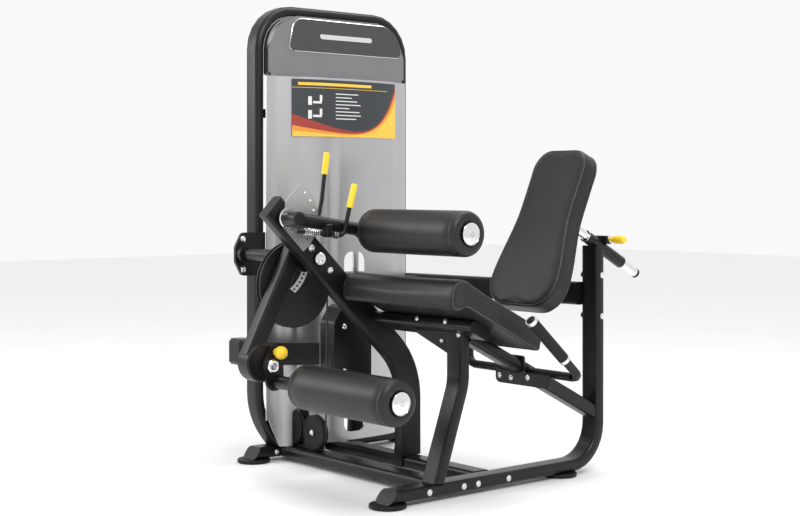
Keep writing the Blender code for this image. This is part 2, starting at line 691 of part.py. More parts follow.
def leg_lever():
    mid = (LEVER_X[0] + LEVER_X[1]) / 2
    width = LEVER_X[1] - LEVER_X[0]
    pivot = at(mid, KNEE)
    top_z, low_z = 0.7600, 0.4200
    path = [Vector((mid, lever_line(top_z), top_z)), Vector((mid, lever_line(low_z), low_z))]
    section = rounded_rectangle(width, 0.0560, 0.010)
    lever = add_solid("leg_lever", sweep(path, section, X_AXIS), "black_coat", pivot)
    hub = cylinder(at(LEVER_X[0] + 0.0005, KNEE), X_AXIS, width - 0.001, 0.046, 0.002, 32)
    combine(lever, cutter("leg_lever_hub", hub), "UNION")
    foot = cylinder(at(LEVER_X[0] - 0.006, BLOCK_CENTRE), X_AXIS, width + 0.012, 0.062, 0.005, 32)
    combine(lever, cutter("leg_lever_foot", foot), "UNION")
    ear = rounded_outline(
        [(KNEE.y - 0.020, KNEE.z + 0.020), (KNEE.y + 0.030, KNEE.z + 0.010),
         (KNEE.y + 0.052, KNEE.z + 0.076), (KNEE.y + 0.020, KNEE.z + 0.080)],
        [0.004, 0.004, 0.014, 0.014], 3)
    combine(lever, cutter("leg_lever_ear", prism(ear, "X", LEVER_X[0] + 0.002, LEVER_X[0] + 0.020)), "UNION")
    bore = cylinder(at(LEVER_X[0] - 0.03, KNEE), X_AXIS, 0.11, SHAFT_RADIUS + GAP)
    combine(lever, cutter("leg_lever_bore", bore), "DIFFERENCE")


START_PIVOT = Vector((0.0, -0.0440, 0.7950))
RELEASE_RADIUS = 0.0070                  # both release rods


def start_release():
    x = -0.4600
    points = [at(x, START_PIVOT), (x, -0.0180, 0.8640), (x, -0.0060, 0.9090), (x, 0.0060, 0.9980)]
    path = rounded_path(points, [0.05, 0.05], 3)
    mesh = sweep(path, circle(RELEASE_RADIUS, 12), X_AXIS)
    rod = add_solid("start_release_rod", mesh, "black_coat", at(x, START_PIVOT))
    boss = cylinder(at(LEVER_X[0] + 0.0203, START_PIVOT), X_AXIS, 0.0240, 0.0120, 0.001, 20)
    combine(rod, cutter("start_release_boss", boss), "UNION")
    rise = (Vector(points[-1]) - Vector(points[-2])).normalized()
    base = Vector(points[-1]) + rise * GAP
    tip = base + rise * 0.0735
    mesh = grip_mesh(base, tip, 0.0105)
    add_solid("start_release_grip", mesh, "yellow", at(x, START_PIVOT))


def grip_mesh(base, tip, radius, bevel=0.004):
    length = (tip - base).length
    profile = [(0.0, radius - 0.001), (0.001, radius), (length - bevel, radius),
               (length - 0.3 * bevel, radius - 0.3 * bevel), (length, radius - bevel)]
    return turned(profile, base, tip - base, 20)


def roller_crank():
    x0, x1 = LEVER_X[1] + 0.006 + GAP, LEVER_X[1] + 0.0165
    pin = Vector((0.0, -0.2080, 0.4340))
    outline = rounded_outline(
        [(CRANK_AXIS.y - 0.036, CRANK_AXIS.z + 0.010), (ANKLE_AXIS.y - 0.030, ANKLE_AXIS.z - 0.030),
         (ANKLE_AXIS.y + 0.030, ANKLE_AXIS.z - 0.026), (pin.y + 0.024, pin.z + 0.016),
         (pin.y - 0.020, pin.z + 0.022)],
        [0.024, 0.028, 0.028, 0.018, 0.018], 4)
    crank = add_solid("roller_crank", prism(outline, "X", x0, x1), "black_coat", at(x0, CRANK_AXIS))
    tube = cylinder(at(x1 - 0.004, ANKLE_AXIS), X_AXIS, ROLLER_X[0] - GAP - x1 + 0.004, 0.0210, 0.001)
    combine(crank, cutter("roller_crank_tube", tube), "UNION")
    axle = cylinder(at(x1, ANKLE_AXIS), X_AXIS, ROLLER_X[1] + 0.001 - x1, AXLE_RADIUS)
    combine(crank, cutter("roller_crank_axle", axle), "UNION")
    hole = cylinder(at(x0 - 0.01, CRANK_AXIS), X_AXIS, 0.06, 0.0123, count=20)
    combine(crank, cutter("roller_crank_hole", hole), "DIFFERENCE")

    profile = [(0.0, 0.012), (x1 + GAP - x0, 0.012), (x1 + 0.0006 - x0, 0.021), (x1 + 0.010 - x0, 0.021),
               (x1 + 0.013 - x0, 0.017)]
    add_solid("crank_bolt", turned(profile, at(x0, CRANK_AXIS), X_AXIS), "chrome", at(x0, CRANK_AXIS))

    base = at(x1 + GAP, pin)
    profile = [(0.0, 0.0130), (0.004, 0.0130), (0.006, 0.0090)]
    profile += [(0.0255 - 0.0215 * cos(radians(a)), 0.0215 * sin(radians(a))) for a in range(30, 171, 20)]
    add_solid("roller_pin", turned(profile, base, X_AXIS), "yellow", base)


def roller_mesh(axis_point):
    edge = 0.022
    x0, x1 = ROLLER_X
    inner = AXLE_RADIUS + GAP
    outline = [(0.0, inner), (0.0, ROLLER_RADIUS - edge)]
    for a in (30, 60, 90):
        outline.append((edge * (1 - cos(radians(a))), ROLLER_RADIUS - edge + edge * sin(radians(a))))
    length = x1 - x0
    mirrored = [(length - along, radius) for along, radius in reversed(outline)]
    return turned(outline + mirrored, at(x0, axis_point), X_AXIS, 28, closed=True)


def end_cap(name, axis_point):
    profile = [(0.0, 0.033), (0.003, 0.033), (0.006, 0.028), (0.009, 0.012)]
    base = at(ROLLER_X[1] + 0.0015, axis_point)
    add_solid(name, turned(profile, base, X_AXIS, 24), "chrome", base)


def rollers():
    for name, axis_point in (("ankle_roller", ANKLE_AXIS), ("thigh_roller", THIGH_AXIS)):
        add_solid(name, roller_mesh(axis_point), "upholstery", at(ROLLER_X[0], axis_point))
        end_cap(name + "_cap", axis_point)


# ---- thigh hold-down ------------------------------------------------------
def thigh_arm():
    face = ARCH_X + ARCH_THICK / 2 + GAP
    tip = -0.3000 - face
    profile = [(0.0, 0.030), (0.014, 0.030), (0.015, ARM_RADIUS), (tip, ARM_RADIUS),
               (tip + 0.0015, ARM_RADIUS - 0.002)]
    arm = add_solid("thigh_arm", turned(profile, at(face, HUB), X_AXIS), "black_coat", at(face, HUB))
    mesh = sweep([at(ARM_X, HUB), at(ARM_X, THIGH_AXIS)], circle(ARM_RADIUS - 0.0005, 20), X_AXIS)
    combine(arm, cutter("thigh_arm_tube", mesh), "UNION")
    reach = ROLLER_X[0] - GAP - ARM_X + 0.024
    knuckle = cylinder(at(ARM_X - 0.024, THIGH_AXIS), X_AXIS, reach, 0.0260, 0.002)
    combine(arm, cutter("thigh_arm_knuckle", knuckle), "UNION")
    axle = cylinder(at(ARM_X, THIGH_AXIS), X_AXIS, ROLLER_X[1] + 0.001 - ARM_X, AXLE_RADIUS)
    combine(arm, cutter("thigh_arm_axle", axle), "UNION")
    lug = block((-0.3080, -0.1180, 0.7990), (-0.2800, -0.0960, 0.8400), 0.002)
    combine(arm, cutter("thigh_arm_lug", lug), "UNION")
    bore = sweep(release_line(0.03), circle(0.0085, 12), X_AXIS)
    combine(arm, cutter("thigh_arm_lug_bore", bore), "DIFFERENCE")


RELEASE_X = -0.2920
RELEASE_START = Vector((0.0, -0.2300, 0.8225))
RELEASE_BEND = Vector((0.0, -0.0450, 0.8020))


def release_line(extra=0.0):
    along = (RELEASE_BEND - RELEASE_START).normalized()
    return [at(RELEASE_X, RELEASE_START - along * extra), at(RELEASE_X, RELEASE_BEND + along * extra)]


def thigh_release():
    start, bend = release_line()
    knee = Vector((RELEASE_X, -0.0210, 0.8900))
    path = rounded_path([start, bend, knee], [0.022], 4)
    add_solid("thigh_release_rod", sweep(path, circle(RELEASE_RADIUS, 12), X_AXIS), "black_coat", start)
    rise = (knee - bend).normalized()
    base = knee + rise * GAP
    tip = base + rise * 0.0790
    add_solid("thigh_release_grip", grip_mesh(base, tip, 0.0105), "yellow", start)


def index_plate():
    """Sector of a disc about the thigh arm's hub, bolted to the arched frame."""
    face = ARCH_X + ARCH_THICK / 2 + GAP
    radius = 0.1250
    outline = []
    for i in range(15):
        angle = radians(-58 + 120 * i / 14)
        outline.append((HUB.y + radius * cos(angle), HUB.z + radius * sin(angle)))
    outline += [(HUB.y - 0.004, HUB.z + 0.0500), (HUB.y - 0.010, HUB.z - 0.0300)]
    plate = add_solid("thigh_index_plate", prism(outline, "X", face, face + 0.008), "steel")
    hole = cylinder(at(face - 0.01, HUB), X_AXIS, 0.04, 0.0303, count=28)
    combine(plate, cutter("thigh_index_hole", hole), "DIFFERENCE")
    for i in range(6):
        angle = radians(-40 + 18 * i)
        centre = Vector((face - 0.01, HUB.y + 0.108 * cos(angle), HUB.z + 0.108 * sin(angle)))
        drill = cylinder(centre, X_AXIS, 0.04, 0.006, count=12)
        combine(plate, cutter(f"thigh_index_{i}", drill), "DIFFERENCE")


# ---- seat, handles and backrest -------------------------------------------
def seat_pad():
    tilt = radians(SEAT_TILT)
    back = Vector((0.0, cos(tilt), -sin(tilt)))
    up = Vector((0.0, sin(tilt), cos(tilt)))
    bottom = NOSE + up * (NOSE_RADIUS - SEAT_THICK)
    corner = bottom + back * SEAT_LENGTH
    outline = []
    for step in range(7):
        angle = radians(90 - SEAT_TILT + (90 + SEAT_TILT) * step / 6)
        outline.append((NOSE.y + NOSE_RADIUS * cos(angle), NOSE.z + NOSE_RADIUS * sin(angle)))
    front = NOSE.y - NOSE_RADIUS
    outline += [(front + 0.001, NOSE_BOTTOM + 0.020), (front + 0.006, NOSE_BOTTOM + 0.007),
                (front + 0.018, NOSE_BOTTOM), (NOSE.y + 0.004, NOSE_BOTTOM)]
    tail = [
        bottom + back * 0.030,
        corner,
        corner + back * 0.003 + up * 0.008,
        corner - back * 0.008 + up * (SEAT_THICK - 0.014),
        corner - back * 0.022 + up * SEAT_THICK,
    ]
    outline += [(p.y, p.z) for p in tail]
    add_solid("seat_pad", prism(outline, "X", *SEAT_X), "upholstery")


def handles():
    """Cross bar under the seat, bent up into a hand grip on each side."""
    bar_y, bar_z = HANDLE_BAR
    right_low = Vector((HANDLE_X, 0.3880, 0.4310))
    right_high = Vector((HANDLE_X, 0.2560, 0.5480))
    left_low = Vector((LEFT_HANDLE_X, 0.3880, 0.4850))
    left_high = Vector((LEFT_HANDLE_X, 0.2560, 0.5600))
    right_slope = (right_high - right_low).normalized()
    left_slope = (left_high - left_low).normalized()
    radius = 0.0180
    mesh = grip_mesh(left_low + left_slope * GAP, left_high, radius, 0.005)
    add_solid("left_hand_grip", mesh, "rubber")
    mesh = grip_mesh(right_low + right_slope * GAP, right_high, radius, 0.005)
    add_solid("right_hand_grip", mesh, "rubber")
    points = [
        left_low,
        left_low - left_slope * 0.0340,
        Vector((-0.2500, bar_y, 0.4680)),
        Vector((-0.2500, bar_y, bar_z)),
        Vector((HANDLE_X - 0.0300, bar_y, bar_z)),
        right_low - right_slope * ((right_low.z - bar_z) / right_slope.z),
        right_low,
    ]
    path = rounded_path(points, [0.020, 0.030, 0.030, 0.050, 0.024], 3)
    add_solid("handle_bar", round_tube(path, HANDLE_RADIUS), "black_coat")


def round_tube(path, radius, count=14):
    """Round tube along any path, its section turned without twist."""
    mesh = bmesh.new()
    along = (path[1] - path[0]).normalized()
    side = along.orthogonal().normalized()
    rings = []
    last = len(path) - 1
    for index, point in enumerate(path):
        if index == 0:
            ahead = (path[1] - point).normalized()
        elif index == last:
            ahead = (point - path[index - 1]).normalized()
        else:
            before = (point - path[index - 1]).normalized()
            ahead = (before + (path[index + 1] - point).normalized()).normalized()
        side = (side - ahead * side.dot(ahead)).normalized()
        up = ahead.cross(side)
        ring = [mesh.verts.new(point + side * a + up * b) for a, b in circle(radius, count)]
        rings.append(ring)
    for lower, upper in zip(rings, rings[1:]):
        for i in range(count):
            j = (i + 1) % count
            mesh.faces.new((lower[i], lower[j], upper[j], upper[i]))
    mesh.faces.new(rings[0])
    mesh.faces.new(rings[-1])
    return mesh


def smooth_between(low, high, value):
    part = max(0.0, min(1.0, (value - low) / (high - low)))
    return part * part * (3 - 2 * part)


def back_half_width(s):
    """Half width of the backrest pad at distance s above its lower edge."""
    width = 0.1600 - 0.0350 * smooth_between(0.10, 0.36, s)
    low_corner, high_corner = 0.095, 0.075
    if s < low_corner:
        width -= low_corner * (1 - (1 - (1 - s / low_corner) ** 2) ** 0.5)
    top = BACK_HEIGHT - s
    if top < high_corner:
        width -= high_corner * (1 - (1 - (1 - top / high_corner) ** 2) ** 0.5)
    return width


def backrest():
    tilt = radians(BACK_TILT)
    up = Vector((0.0, sin(tilt), cos(tilt)))
    rear = Vector((0.0, cos(tilt), -sin(tilt)))
    steps = 26
    heights = [BACK_HEIGHT * (1 - cos(pi * i / steps)) / 2 for i in range(steps + 1)]
    right = [(back_half_width(s), s) for s in heights]
    left = [(-w, s) for w, s in reversed(right)]
    mesh = bmesh.new()
    layers = ((0.0, 0.008), (0.008, 0.0), (BACK_THICK - 0.008, 0.0), (BACK_THICK, 0.008))
    middle = BACK_HEIGHT / 2
    rings = []
    for depth, inset in layers:
        ring = []
        for w, s in right + left:
            reach = hypot(w, s - middle)
            scale = (reach - inset) / reach
            across = X_AXIS * (BACK_X + w * scale)
            height = up * (middle + (s - middle) * scale)
            ring.append(mesh.verts.new(BACK_FOOT + across + height + rear * depth))
        rings.append(ring)
    count = len(rings[0])
    for lower, upper in zip(rings, rings[1:]):
        for i in range(count):
            j = (i + 1) % count
            mesh.faces.new((lower[i], lower[j], upper[j], upper[i]))
    mesh.faces.new(rings[0])
    mesh.faces.new(rings[-1])
    add_solid("backrest_pad", mesh, "upholstery", SLIDE_START)

    slope = radians(SLIDE_TILT)
    back = Vector((0.0, cos(slope), -sin(slope)))
    plate_point = BACK_FOOT + rear * (BACK_THICK + GAP)
    reach = (plate_point - SLIDE_START).dot(rear) / back.dot(rear)
    front = SLIDE_START + back * (reach + 0.002)
    end = SLIDE_START + back * SLIDE_LENGTH
    tube = sweep([front, end], circle(SLIDE_RADIUS, 20), X_AXIS, rear)
    carrier = add_solid("backrest_slide", tube, "chrome", SLIDE_START)
    plate = bmesh.new()
    low_s, high_s = 0.1100, 0.3400
    corners = []
    for depth in (BACK_THICK + GAP, BACK_THICK + GAP + 0.008):
        for x, s in ((-0.050, low_s), (0.050, low_s), (0.050, high_s), (-0.050, high_s)):
            corners.append(plate.verts.new(BACK_FOOT + X_AXIS * (BACK_X + 0.020 + x) + up * s + rear * depth))
    for face in ((0, 1, 2, 3), (4, 5, 6, 7), (0, 1, 5, 4), (1, 2, 6, 5), (2, 3, 7, 6), (3, 0, 4, 7)):
        plate.faces.new([corners[i] for i in face])
    bmesh.ops.recalc_face_normals(plate, faces=plate.faces[:])
    combine(carrier, cutter("backrest_plate", plate), "UNION")

    inner = SLIDE_RADIUS + GAP
    profile = [(0.0, inner), (SLEEVE_LENGTH, inner), (SLEEVE_LENGTH, SLEEVE_RADIUS), (0.0, SLEEVE_RADIUS)]
    sleeve = add_solid("backrest_sleeve", turned(profile, SLIDE_START, back, 24, closed=True), "black_coat")
    up_slide = Vector((0.0, sin(slope), cos(slope)))
    housing_at = SLIDE_START + back * 0.0800 + up_slide * (SLEEVE_RADIUS + 0.009)
    low = housing_at + Vector((-0.030, -0.014, -0.0160))
    housing = block(low, housing_at + Vector((0.030, 0.014, 0.0120)), 0.002)
    combine(sleeve, cutter("backrest_pin_housing", housing), "UNION")
    keep = cylinder(SLIDE_START - back * 0.05, back, 0.4, inner)
    combine(sleeve, cutter("backrest_sleeve_bore", keep), "DIFFERENCE")
    base = housing_at + Vector((0.030 + GAP, 0.0, 0.0))
    profile = [(0.0, 0.009), (0.022, 0.009), (0.0225, 0.0125), (0.030, 0.0140),
               (0.062, 0.0140), (0.068, 0.010)]
    add_solid("backrest_pin", turned(profile, base, X_AXIS, 20), "yellow", base)


# ---- guards ---------------------------------------------------------------
def guards():
    points = [(-0.8120, -0.0500, 0.3900), (-0.7200, -0.0560, 0.3900), (-0.6120, 0.1000, 0.3900)]
    path = rounded_path(points, [0.10], 5)
    section = rounded_rectangle(0.0760, 0.0080, 0.003, 2)
    band = add_solid("belt_guard_band", sweep(path, section, Z_AXIS, X_AXIS), "black_coat")
    housing = block((-0.8870, -0.0930, 0.3440), (-0.8060, -0.0300, 0.4340), 0.010)
    combine(band, cutter("belt_guard_end", housing), "UNION")
    outline = rounded_outline(
        [(0.1000, 0.3000), (0.2600, 0.3000), (0.2600, 0.5400), (0.1400, 0.5600), (0.1000, 0.5000)],
        [0.015, 0.015, 0.020, 0.030, 0.030])
    add_solid("belt_guard_box", prism(outline, "X", -0.6080, -0.5300), "black_coat")


tower_loop()
tower_base()
floor_beams()
rail_and_post()
feet()
arched_frame()
seat_frame()
rear_upper_beam()
knee_bearing()
head_cover()
front_shroud()
weight_stack()
selector()
pulleys()
cables()
knee_shaft()
cam()
leg_lever()
start_release()
roller_crank()
rollers()
thigh_arm()
thigh_release()
index_plate()
seat_pad()
handles()
backrest()
guards()
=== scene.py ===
"""The looks of the leg extension machine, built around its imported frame.

Points written as numbers are machine coordinates in metres: x = 0 is the seat
rail's centre plane and z = 0 the floor. place() carries them into the row frame.
"""
import json
from math import cos, pi, radians, sin, tan

import bmesh
import bpy
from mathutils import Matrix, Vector


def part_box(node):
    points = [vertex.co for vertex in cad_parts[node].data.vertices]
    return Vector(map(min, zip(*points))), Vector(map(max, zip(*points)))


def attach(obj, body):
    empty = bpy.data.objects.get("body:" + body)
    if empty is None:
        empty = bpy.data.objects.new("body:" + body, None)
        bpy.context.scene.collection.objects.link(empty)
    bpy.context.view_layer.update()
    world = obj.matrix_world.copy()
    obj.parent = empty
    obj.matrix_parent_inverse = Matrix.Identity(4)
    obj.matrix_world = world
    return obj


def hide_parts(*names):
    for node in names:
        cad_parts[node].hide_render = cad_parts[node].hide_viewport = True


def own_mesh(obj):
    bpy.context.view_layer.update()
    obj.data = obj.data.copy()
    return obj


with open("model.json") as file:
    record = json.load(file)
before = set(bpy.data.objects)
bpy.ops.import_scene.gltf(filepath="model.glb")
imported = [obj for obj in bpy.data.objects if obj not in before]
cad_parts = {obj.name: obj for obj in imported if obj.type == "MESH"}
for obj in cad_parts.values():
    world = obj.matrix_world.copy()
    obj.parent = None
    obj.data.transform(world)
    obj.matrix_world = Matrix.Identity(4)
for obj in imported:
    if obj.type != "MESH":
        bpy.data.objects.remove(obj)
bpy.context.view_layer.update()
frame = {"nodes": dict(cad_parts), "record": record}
NODES = frame["nodes"]
SCENE = bpy.context.scene
X = Vector((1.0, 0.0, 0.0))
Y = Vector((0.0, 1.0, 0.0))
Z = Vector((0.0, 0.0, 1.0))
SQUARE = ((-1, -1), (1, -1), (1, 1), (-1, 1))


# ---- places -----------------------------------------------------------------
def centre(node):
    low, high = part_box(node)
    return (low + high) / 2


RAIL_FOOT_AHEAD = 0.1040      # the rail's front foot stands this far in front of y = 0
RAIL_FOOT = centre("foot_rail_front")
SHIFT = Vector((RAIL_FOOT.x, RAIL_FOOT.y + RAIL_FOOT_AHEAD, 0.0))


def place(x, y, z):
    return Vector((x, y, z)) + SHIFT


KNEE = place(0.0, -0.0800, 0.7275)
THIGH_HUB = place(0.0, -0.2129, 0.8590)
SEAT_TILT = radians(27.0)
SEAT_UP = Vector((0.0, sin(SEAT_TILT), cos(SEAT_TILT)))
SEAT_BACK = Vector((0.0, cos(SEAT_TILT), -sin(SEAT_TILT)))
BACK_TILT = radians(24.5)
BACK_UP = Vector((0.0, sin(BACK_TILT), cos(BACK_TILT)))
BACK_REAR = Vector((0.0, cos(BACK_TILT), -sin(BACK_TILT)))
BACK_FOOT = place(-0.0530, 0.4720, 0.5650)
SLIDE_TILT = radians(28.0)
SLIDE_BACK = Vector((0.0, cos(SLIDE_TILT), -sin(SLIDE_TILT)))
SLIDE_START = place(0.0, 0.7630, 0.7910)
SLIDE_LENGTH = 0.2900


# ---- camera -----------------------------------------------------------------
CAMERA_AT = (3.2700, -2.8000, 0.9507)
CAMERA_HEADING = 50.0
LENS = 63.9
SENSOR = 36.0
LENS_DROP = -0.08625


def make_camera():
    data = bpy.data.cameras.new("camera")
    data.sensor_width = SENSOR
    data.lens = LENS
    data.shift_y = LENS_DROP
    camera = bpy.data.objects.new("camera", data)
    camera.location = place(*CAMERA_AT)
    camera.rotation_euler = (radians(90.0), 0.0, radians(CAMERA_HEADING))
    SCENE.collection.objects.link(camera)
    SCENE.camera = camera


# ---- materials --------------------------------------------------------------
MOTTLE_BAND = (0.30, 0.72)
SCUFF_BAND = (0.66, 0.80)
SCUFF_SCALE = 2.6             # against the mottle's scale, like ROUGH_SCALE
ROUGH_SCALE = 1.7
LEAST_ROUGH = 0.02
BUMP_STRENGTH = 0.6
PLAIN_MAP = (1.0, 1.0, 1.0)


def add_noise(tree, mapping, scale, detail):
    noise = tree.nodes.new("ShaderNodeTexNoise")
    noise.inputs["Scale"].default_value = scale
    noise.inputs["Detail"].default_value = detail
    tree.links.new(mapping.outputs["Vector"], noise.inputs["Vector"])
    return noise.outputs["Fac"]


def add_ramp(tree, factor, band):
    ramp = tree.nodes.new("ShaderNodeValToRGB")
    ramp.color_ramp.elements[0].position, ramp.color_ramp.elements[1].position = band
    tree.links.new(factor, ramp.inputs["Fac"])
    return ramp


def add_tint(tree, mapping, colour, mottle, mottle_scale, wear):
    """Colour that wanders round its mean, with scuffed patches where wear is given."""
    ramp = add_ramp(tree, add_noise(tree, mapping, mottle_scale, 6.0), MOTTLE_BAND)
    ramp.color_ramp.elements[0].color = (*[c * (1 - mottle) for c in colour], 1.0)
    ramp.color_ramp.elements[1].color = (*[min(1.0, c * (1 + mottle)) for c in colour], 1.0)
    if wear is None:
        return ramp.outputs["Color"]
    scuff = add_ramp(tree, add_noise(tree, mapping, mottle_scale * SCUFF_SCALE, 9.0), SCUFF_BAND)
    mix = tree.nodes.new("ShaderNodeMix")
    mix.data_type = "RGBA"
    tree.links.new(scuff.outputs["Color"], mix.inputs["Factor"])
    tree.links.new(ramp.outputs["Color"], mix.inputs["A"])
    mix.inputs["B"].default_value = (*wear, 1.0)
    return mix.outputs["Result"]


def add_grain(tree, mapping, grain, height, cells):
    """Fine bump: leather-like cells, or plain noise."""
    if cells:
        fine = tree.nodes.new("ShaderNodeTexVoronoi")
        fine.inputs["Scale"].default_value = grain
        tree.links.new(mapping.outputs["Vector"], fine.inputs["Vector"])
        level_out = fine.outputs["Distance"]
    else:
        level_out = add_noise(tree, mapping, grain, 3.0)
    bump = tree.nodes.new("ShaderNodeBump")
    bump.inputs["Strength"].default_value = BUMP_STRENGTH
    bump.inputs["Distance"].default_value = height
    tree.links.new(level_out, bump.inputs["Height"])
    return bump.outputs["Normal"]


def make_material(name, colour, rough, metallic=0.0, mottle=0.10, mottle_scale=35.0, rough_spread=0.06,
                  grain=700.0, height=0.00006, cells=False, stretch=PLAIN_MAP, coat=0.0, specular=0.5,
                  wear=None):
    """Principled material whose colour, roughness and bump vary over the surface."""
    made = bpy.data.materials.new(name)
    made.use_nodes = True
    tree = made.node_tree
    shader = tree.nodes["Principled BSDF"]
    shader.inputs["Metallic"].default_value = metallic
    shader.inputs["Coat Weight"].default_value = coat
    shader.inputs["Specular IOR Level"].default_value = specular
    spot = tree.nodes.new("ShaderNodeTexCoord")
    mapping = tree.nodes.new("ShaderNodeMapping")
    mapping.inputs["Scale"].default_value = stretch
    tree.links.new(spot.outputs["Object"], mapping.inputs["Vector"])
    tint = add_tint(tree, mapping, colour, mottle, mottle_scale, wear)
    tree.links.new(tint, shader.inputs["Base Color"])
    spread = tree.nodes.new("ShaderNodeMapRange")
    spread.inputs["To Min"].default_value = max(LEAST_ROUGH, rough - rough_spread)
    spread.inputs["To Max"].default_value = rough + rough_spread
    tree.links.new(add_noise(tree, mapping, mottle_scale * ROUGH_SCALE, 4.0), spread.inputs["Value"])
    tree.links.new(spread.outputs["Result"], shader.inputs["Roughness"])
    tree.links.new(add_grain(tree, mapping, grain, height, cells), shader.inputs["Normal"])
    return made


def make_ink(name, colour, rough=0.42, mottle=0.05):
    return make_material(name, colour, rough, mottle=mottle, grain=1500.0)


COAT = make_material("powder_coat", (0.0060, 0.0060, 0.0065), 0.33, mottle=0.14, grain=1100.0,
                     height=0.00005, specular=0.32, wear=(0.010, 0.010, 0.0105))
VINYL = make_material("vinyl", (0.0100, 0.0096, 0.0096), 0.42, mottle=0.12, mottle_scale=14.0, grain=620.0,
                      height=0.00016, cells=True, specular=0.38, wear=(0.0135, 0.0130, 0.0130))
# piping vinyl, five times paler than the pad vinyl: the piping is real, its paleness is a painted highlight
# along the pads' edges and the rollers' seams
PAINTED_HIGHLIGHT_WELT = make_material("vinyl_welt_painted_highlight", (0.050, 0.049, 0.049), 0.36, grain=900.0, cells=True)
RUBBER = make_material("rubber", (0.006, 0.006, 0.006), 0.58, mottle=0.20, grain=1400.0, height=0.00010,
                       specular=0.3)
SILVER = make_material("silver_moulding", (0.47, 0.47, 0.48), 0.30, metallic=0.80, mottle=0.03,
                       mottle_scale=9.0, grain=2200.0, height=0.00002, coat=0.2)
HEAD = make_material("head_moulding", (0.24, 0.24, 0.245), 0.27, metallic=0.85, mottle=0.04,
                     mottle_scale=9.0, grain=2200.0, height=0.00002, coat=0.3)
BADGE = make_material("badge_panel", (0.036, 0.036, 0.038), 0.36, mottle=0.06, grain=1800.0, coat=0.2)
CHROME = make_material("chrome", (0.78, 0.78, 0.79), 0.12, metallic=1.0, mottle=0.03, rough_spread=0.05,
                       grain=500.0, height=0.00001)
STEEL = make_material("zinc_steel", (0.52, 0.52, 0.53), 0.32, metallic=1.0, mottle=0.10, mottle_scale=60.0,
                      grain=260.0, height=0.00003, stretch=(1.0, 1.0, 12.0))
IRON = make_material("painted_iron", (0.009, 0.009, 0.0095), 0.46, mottle=0.18, grain=420.0,
                     height=0.00025, wear=(0.018, 0.0175, 0.017))
YELLOW = make_material("yellow_moulding", (0.92, 0.60, 0.02), 0.34, mottle=0.05, grain=1300.0, coat=0.15)
CABLE = make_material("cable_jacket", (0.016, 0.016, 0.016), 0.40, mottle=0.15, grain=900.0)
WHITE_INK = make_ink("white_ink", (0.70, 0.70, 0.69), 0.45, 0.04)
YELLOW_INK = make_ink("yellow_ink", (0.85, 0.52, 0.06))
ORANGE_INK = make_ink("orange_ink", (0.75, 0.28, 0.03))
RED_INK = make_ink("red_ink", (0.33, 0.035, 0.025))
PANEL_INK = make_ink("panel_ink", (0.030, 0.036, 0.040), 0.34, 0.06)
FLOOR = make_material("studio_floor", (0.90, 0.90, 0.90), 0.60, mottle=0.01, mottle_scale=2.0, grain=200.0)

FINISH = {
    "painted_frame": COAT, "upholstery": VINYL, "rubber": RUBBER, "silver_moulding": SILVER,
    "chrome": CHROME, "steel": STEEL, "iron": IRON, "yellow_plastic": YELLOW, "cable": CABLE,
}
OWN_FINISH = {
    "head_cover": HEAD, "knee_shaft": COAT, "left_hand_grip": RUBBER, "right_hand_grip": RUBBER,
}
SAME_POINT = 0.00001
FRAME_SHARP = radians(34.0)


def dress_frame():
    """Give every carried-over node its finish and smooth its round faces."""
    for row in frame["record"]["subparts"]:
        node = NODES[row["node"]]
        node.data.materials.clear()
        node.data.materials.append(OWN_FINISH.get(row["node"], FINISH[row["material_slot"]]))
        weld = node.modifiers.new("weld", "WELD")
        weld.merge_threshold = SAME_POINT
        split = node.modifiers.new("split", "EDGE_SPLIT")
        split.split_angle = FRAME_SHARP
        node.modifiers.new("weighted", "WEIGHTED_NORMAL")
        node.data.shade_smooth()


# ---- shape helpers ----------------------------------------------------------
PIECE_SHARP = radians(38.0)


def add_piece(name, mesh, material, body, smooth=True):
    """Link a bmesh in row coordinates as a piece that rides on a body."""
    bmesh.ops.recalc_face_normals(mesh, faces=mesh.faces[:])
    data = bpy.data.meshes.new(name)
    mesh.to_mesh(data)
    mesh.free()
    piece = bpy.data.objects.new(name, data)
    SCENE.collection.objects.link(piece)
    data.materials.append(material)
    if smooth:
        data.shade_smooth()
        data.set_sharp_from_angle(angle=PIECE_SHARP)
    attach(piece, body)
    return piece


def side_pair(axis):
    """Two unit vectors square to a unit axis and to each other."""
    one = axis.orthogonal().normalized()
    return one, axis.cross(one)


def arc_points(middle, one, two, radius, start, end, steps):
    """Points from angle start to angle end, both kept."""
    angles = [start + (end - start) * i / steps for i in range(steps + 1)]
    return [middle + (one * cos(a) + two * sin(a)) * radius for a in angles]


def circle_points(middle, one, two, radius, count):
    return arc_points(middle, one, two, radius, 0.0, 2 * pi, count)[:-1]


def helix(start, axis, length, radius, turns, per_turn=14):
    one, two = side_pair(axis)
    count = turns * per_turn
    around = arc_points(start, one, two, radius, 0.0, 2 * pi * turns, count)
    return [point + axis * (length * i / count) for i, point in enumerate(around)]


def add_ring_faces(mesh, rings, closed):
    """Bridge rings of vertices, then join the last to the first or cap both."""
    pairs = list(zip(rings, rings[1:]))
    if closed:
        pairs.append((rings[-1], rings[0]))
    for lower, upper in pairs:
        count = len(lower)
        for i in range(count):
            j = (i + 1) % count
            mesh.faces.new((lower[i], lower[j], upper[j], upper[i]))
    if not closed:
        mesh.faces.new(rings[0])
        mesh.faces.new(rings[-1])


def turn_into(mesh, profile, base, axis, count=32, closed=False):
    """Turn a profile of (along, radius) points about an axis through base."""
    one, two = side_pair(axis)
    rings = []
    for along, radius in profile:
        ring = circle_points(base + axis * along, one, two, radius, count)
        rings.append([mesh.verts.new(point) for point in ring])
    add_ring_faces(mesh, rings, closed)
    return mesh


def turned(profile, base, axis, count=32, closed=False):
    return turn_into(bmesh.new(), profile, base, axis, count, closed)


